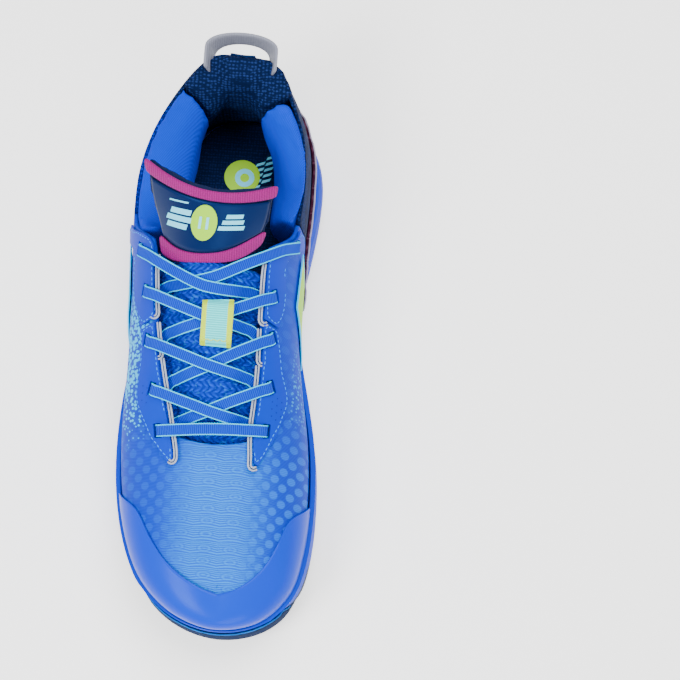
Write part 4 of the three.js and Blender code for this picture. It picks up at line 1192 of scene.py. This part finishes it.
def build_pads(looks):
    pad_piece("heel_collar", "heel_pad", looks["heel_knit"], SHOE, 2.6, 4, 1.8,
              widen_heel)
    for side in ("lateral", "medial"):
        pad = pad_piece(f"collar_{side}", f"collar_pad_{side}", looks["collar"],
                        SHOE, 2.6, 4, 1.8)
        sign = 1 if side == "medial" else -1
        surface = surface_of(pad)
        outer = []
        for y in range(60, 116, 4):
            near = [v.co for v in pad.data.vertices if abs(v.co.y / MM - y) < 2.2]
            if near:
                outer.append(max(near, key=lambda c: sign * c.x).copy() + Vector((0, 0, 2 * MM)))
        scatter(f"collar_seam_{side}", seam(outer, surface, 2.6, (0.85, 0.3, 0.28)),
                looks["thread_dark"])


def build_stays(looks):
    for side, sign in (("lateral", -1), ("medial", 1)):
        films = {}
        for part in ("upper", "lower"):
            node, name = f"eyestay_{part}_{side}", f"stay_{part}_{side}"
            films[part] = smooth_piece(node, name, looks["overlay"], weight=0.8)
            surface = surface_of(films[part])
            outward = Vector((0.6 * sign, 0, 0.8))
            outline = rim_path(nodes[node], lambda edge, o=outward: o)
            line = set_in(outline, surface, 1.7)
            places = seam(line, surface, 2.7, (0.9, 0.26, 0.22), 0.02)
            scatter(f"stay_seam_{part}_{side}", places, looks["thread_light"])
        surface = surface_of(films["lower"])
        # painted shade: small dark beads set a little into the lower eyestay film stand for the shade
        # inside its holes
        dots = []
        rows = 4 if side == "medial" else 3
        for column in range(3 if side == "medial" else 2):
            for row in range(rows):
                x = (29.2 + 2.3 * column) if side == "medial" else (-38.4 + 2.6 * column)
                y = -33.5 - 3.6 * row - 1.4 * column
                hit, normal, _, _ = surface.ray_cast(Vector((x, y, 120)) * MM, Vector((0, 0, -1)))
                if hit is not None:
                    dots.append((hit - normal * 0.12 * MM, Vector((0, 1, 0)), normal,
                                 (0.5, 0.5, 0.2)))
        scatter(f"stay_holes_{side}", dots, looks["thread_dark"], sides=10)


def piping_line(side):
    """Centre line of the throat edge from the heel end to the toe end."""
    mesh = welded(nodes[f"piping_{side}"])
    points = sorted((v.co.copy() for v in mesh.verts), key=lambda c: -c.y)
    mesh.free()
    line = [sum(points[i:i + 4], Vector()) / 4 for i in range(0, len(points) - 3, 4)]
    return relaxed(line, 8)


def build_piping(looks):
    for side, sign in (("lateral", -1), ("medial", 1)):
        line = catmull(piping_line(side), 3)
        rails, gaps = [], []
        for top, bottom in ((40, 1.5), (-2.5, -18.5), (-20.5, -90)):
            run = [p for p in line if bottom < p.y / MM < top]
            up = Vector((0.35 * sign, -0.2, 0.9)).normalized()
            ahead = (run[-1] - run[-4]).normalized()
            out = Vector((0.86 * sign, 0, -0.5))
            hook = [run[-1] + (ahead * along + out * across + up * 0.5) * MM
                    for along, across in ((1.0, 0.3), (1.8, 1.1), (2.0, 2.2), (1.7, 3.3),
                                          (1.0, 4.2))]
            path = evenly(catmull([q + up * 0.35 * MM for q in run[::4]] + [run[-1]] + hook, 4),
                          0.8 * MM)
            path = relaxed(path, 4)
            for shift, radius, store in ((-0.68, 0.56, rails), (0.68, 0.56, rails),
                                         (0, 0.45, gaps)):
                shifted = []
                for i, p in enumerate(path):
                    along = (path[min(i + 1, len(path) - 1)] - path[max(i - 1, 0)]).normalized()
                    shifted.append(p + along.cross(up).normalized() * shift * MM)
                store.append(tube("rail", shifted, radius * MM, 8, normals=[up] * len(shifted)))
        for name, parts, look in ((f"throat_piping_{side}", rails, "piping"),
                                  (f"piping_fold_{side}", gaps, "piping_gap")):
            activate(parts[0])
            for part in parts:
                part.select_set(True)
            bpy.ops.object.join()
            parts[0].name = name
            finish_piece(parts[0], looks[look], SHOE, (f"piping_{side}",)
                         if look == "piping" else (), 60)


def build_keeper(looks):
    tab = smooth_piece("lace_keeper", "keeper_tab", looks["keeper"], weight=0.6)
    surface = surface_of(tab)
    places = []
    for i in range(9):
        x = -7.8 + 1.65 * i
        hit, normal, _, _ = surface.ray_cast(Vector((x, -12.6, 130)) * MM, Vector((0, 0, -1)))
        if hit is not None:
            places.append((hit + normal * 0.05 * MM, Vector((1, 1.1 if i % 2 else -1.1, 0)),
                           normal, (1.1, 0.28, 0.24)))
    scatter("keeper_zigzag", places, looks["thread_yellow"])


def build_flash(side, looks):
    """Slanted bar with a paler border."""
    obj = copy_of(f"side_flash_{side}", f"side_bar_{side}")
    sign = 1 if side == "medial" else -1
    activate(obj)
    bpy.ops.object.mode_set(mode="EDIT")
    bpy.ops.mesh.select_all(action="DESELECT")
    bpy.ops.object.mode_set(mode="OBJECT")
    for polygon in obj.data.polygons:
        polygon.select = sign * polygon.normal.x > 0.6
    bpy.ops.object.mode_set(mode="EDIT")
    bpy.ops.mesh.inset(thickness=1.1 * MM, depth=0.0, use_boundary=True)
    bpy.ops.object.mode_set(mode="OBJECT")
    inner = [p.index for p in obj.data.polygons if p.select]
    finish_piece(obj, looks["aqua"], SHOE, (f"side_flash_{side}",))
    obj.data.materials.append(looks["lime"].material)
    for index in inner:
        obj.data.polygons[index].material_index = 1


def build_cage(looks):
    """Scalloped band with a pale raised edge: a tube along its top edge whose pale colour is a painted
    highlight.
    """
    smooth_piece("heel_cage", "heel_cage_film", looks["cage"], angle=50, weight=0.8)

    def away_from_heel(edge):
        middle = (edge.verts[0].co + edge.verts[1].co) / 2
        return Vector((middle.x + 6 * MM, middle.y - 78 * MM, 0)).normalized()

    path = rim_path(nodes["heel_cage"], away_from_heel, 1.3 * MM)
    # painted highlight: the pale tube stands for the light caught on the film's top edge
    edge = tube("cage_edge", path, 0.5 * MM, 6, normals=[Vector((0, 0, 1))] * len(path))
    finish_piece(edge, looks["cage_edge"], angle=60)


def build_loop(looks):
    """Webbing loop, its ends carried forward to the shell."""
    obj = copy_of("pull_loop", "pull_loop_webbing")
    for v in obj.data.vertices:
        x, y, z = v.co / MM
        end = rise(-y, -143.2, -142.4)
        v.co += Vector((-0.5 if x > 0 else 0.5, -8.5, -2.5)) * MM * end
        inward = Vector((-2.2 - x, 136 - y, 0)).normalized()
        v.co += inward * 4.2 * MM * rise(-z, -103.4, -93.3)
    refine(obj, 48, 0.7, 2)
    finish_piece(obj, looks["loop"], LOOP, ("pull_loop",))


looks = make_looks()
studio()
build_sole(looks)
build_insole_mark(looks)
smooth_piece("upper_mesh", "vamp_mesh", looks["mesh"], angle=50, weight=0.9)
smooth_piece("toe_cap", "toe_film", looks["toe_film"], angle=50, weight=0.7)
for side, look in (("lateral", "quarter_blue"), ("medial", "quarter")):
    smooth_piece(f"rear_quarter_{side}", f"quarter_{side}", looks[look], weight=0.8)
    build_flash(side, looks)
build_stays(looks)
build_piping(looks)
build_cage(looks)
smooth_piece("backstay", "back_strip", looks["label"], weight=0.8)
build_tongue_cloth(looks["braid"])
build_tongue_top(looks)
build_pads(looks)
build_keeper(looks)
build_loop(looks)
build_lace(looks["lace"])

for node, look in (("shank_plate", "shank"), ("strobel_board", "board"),
                   ("heel_counter", "counter"),
                   ("aglet_lateral", "aglet"), ("aglet_medial", "aglet")):
    nodes[node].data.materials.clear()
    nodes[node].data.materials.append(looks[look].material)
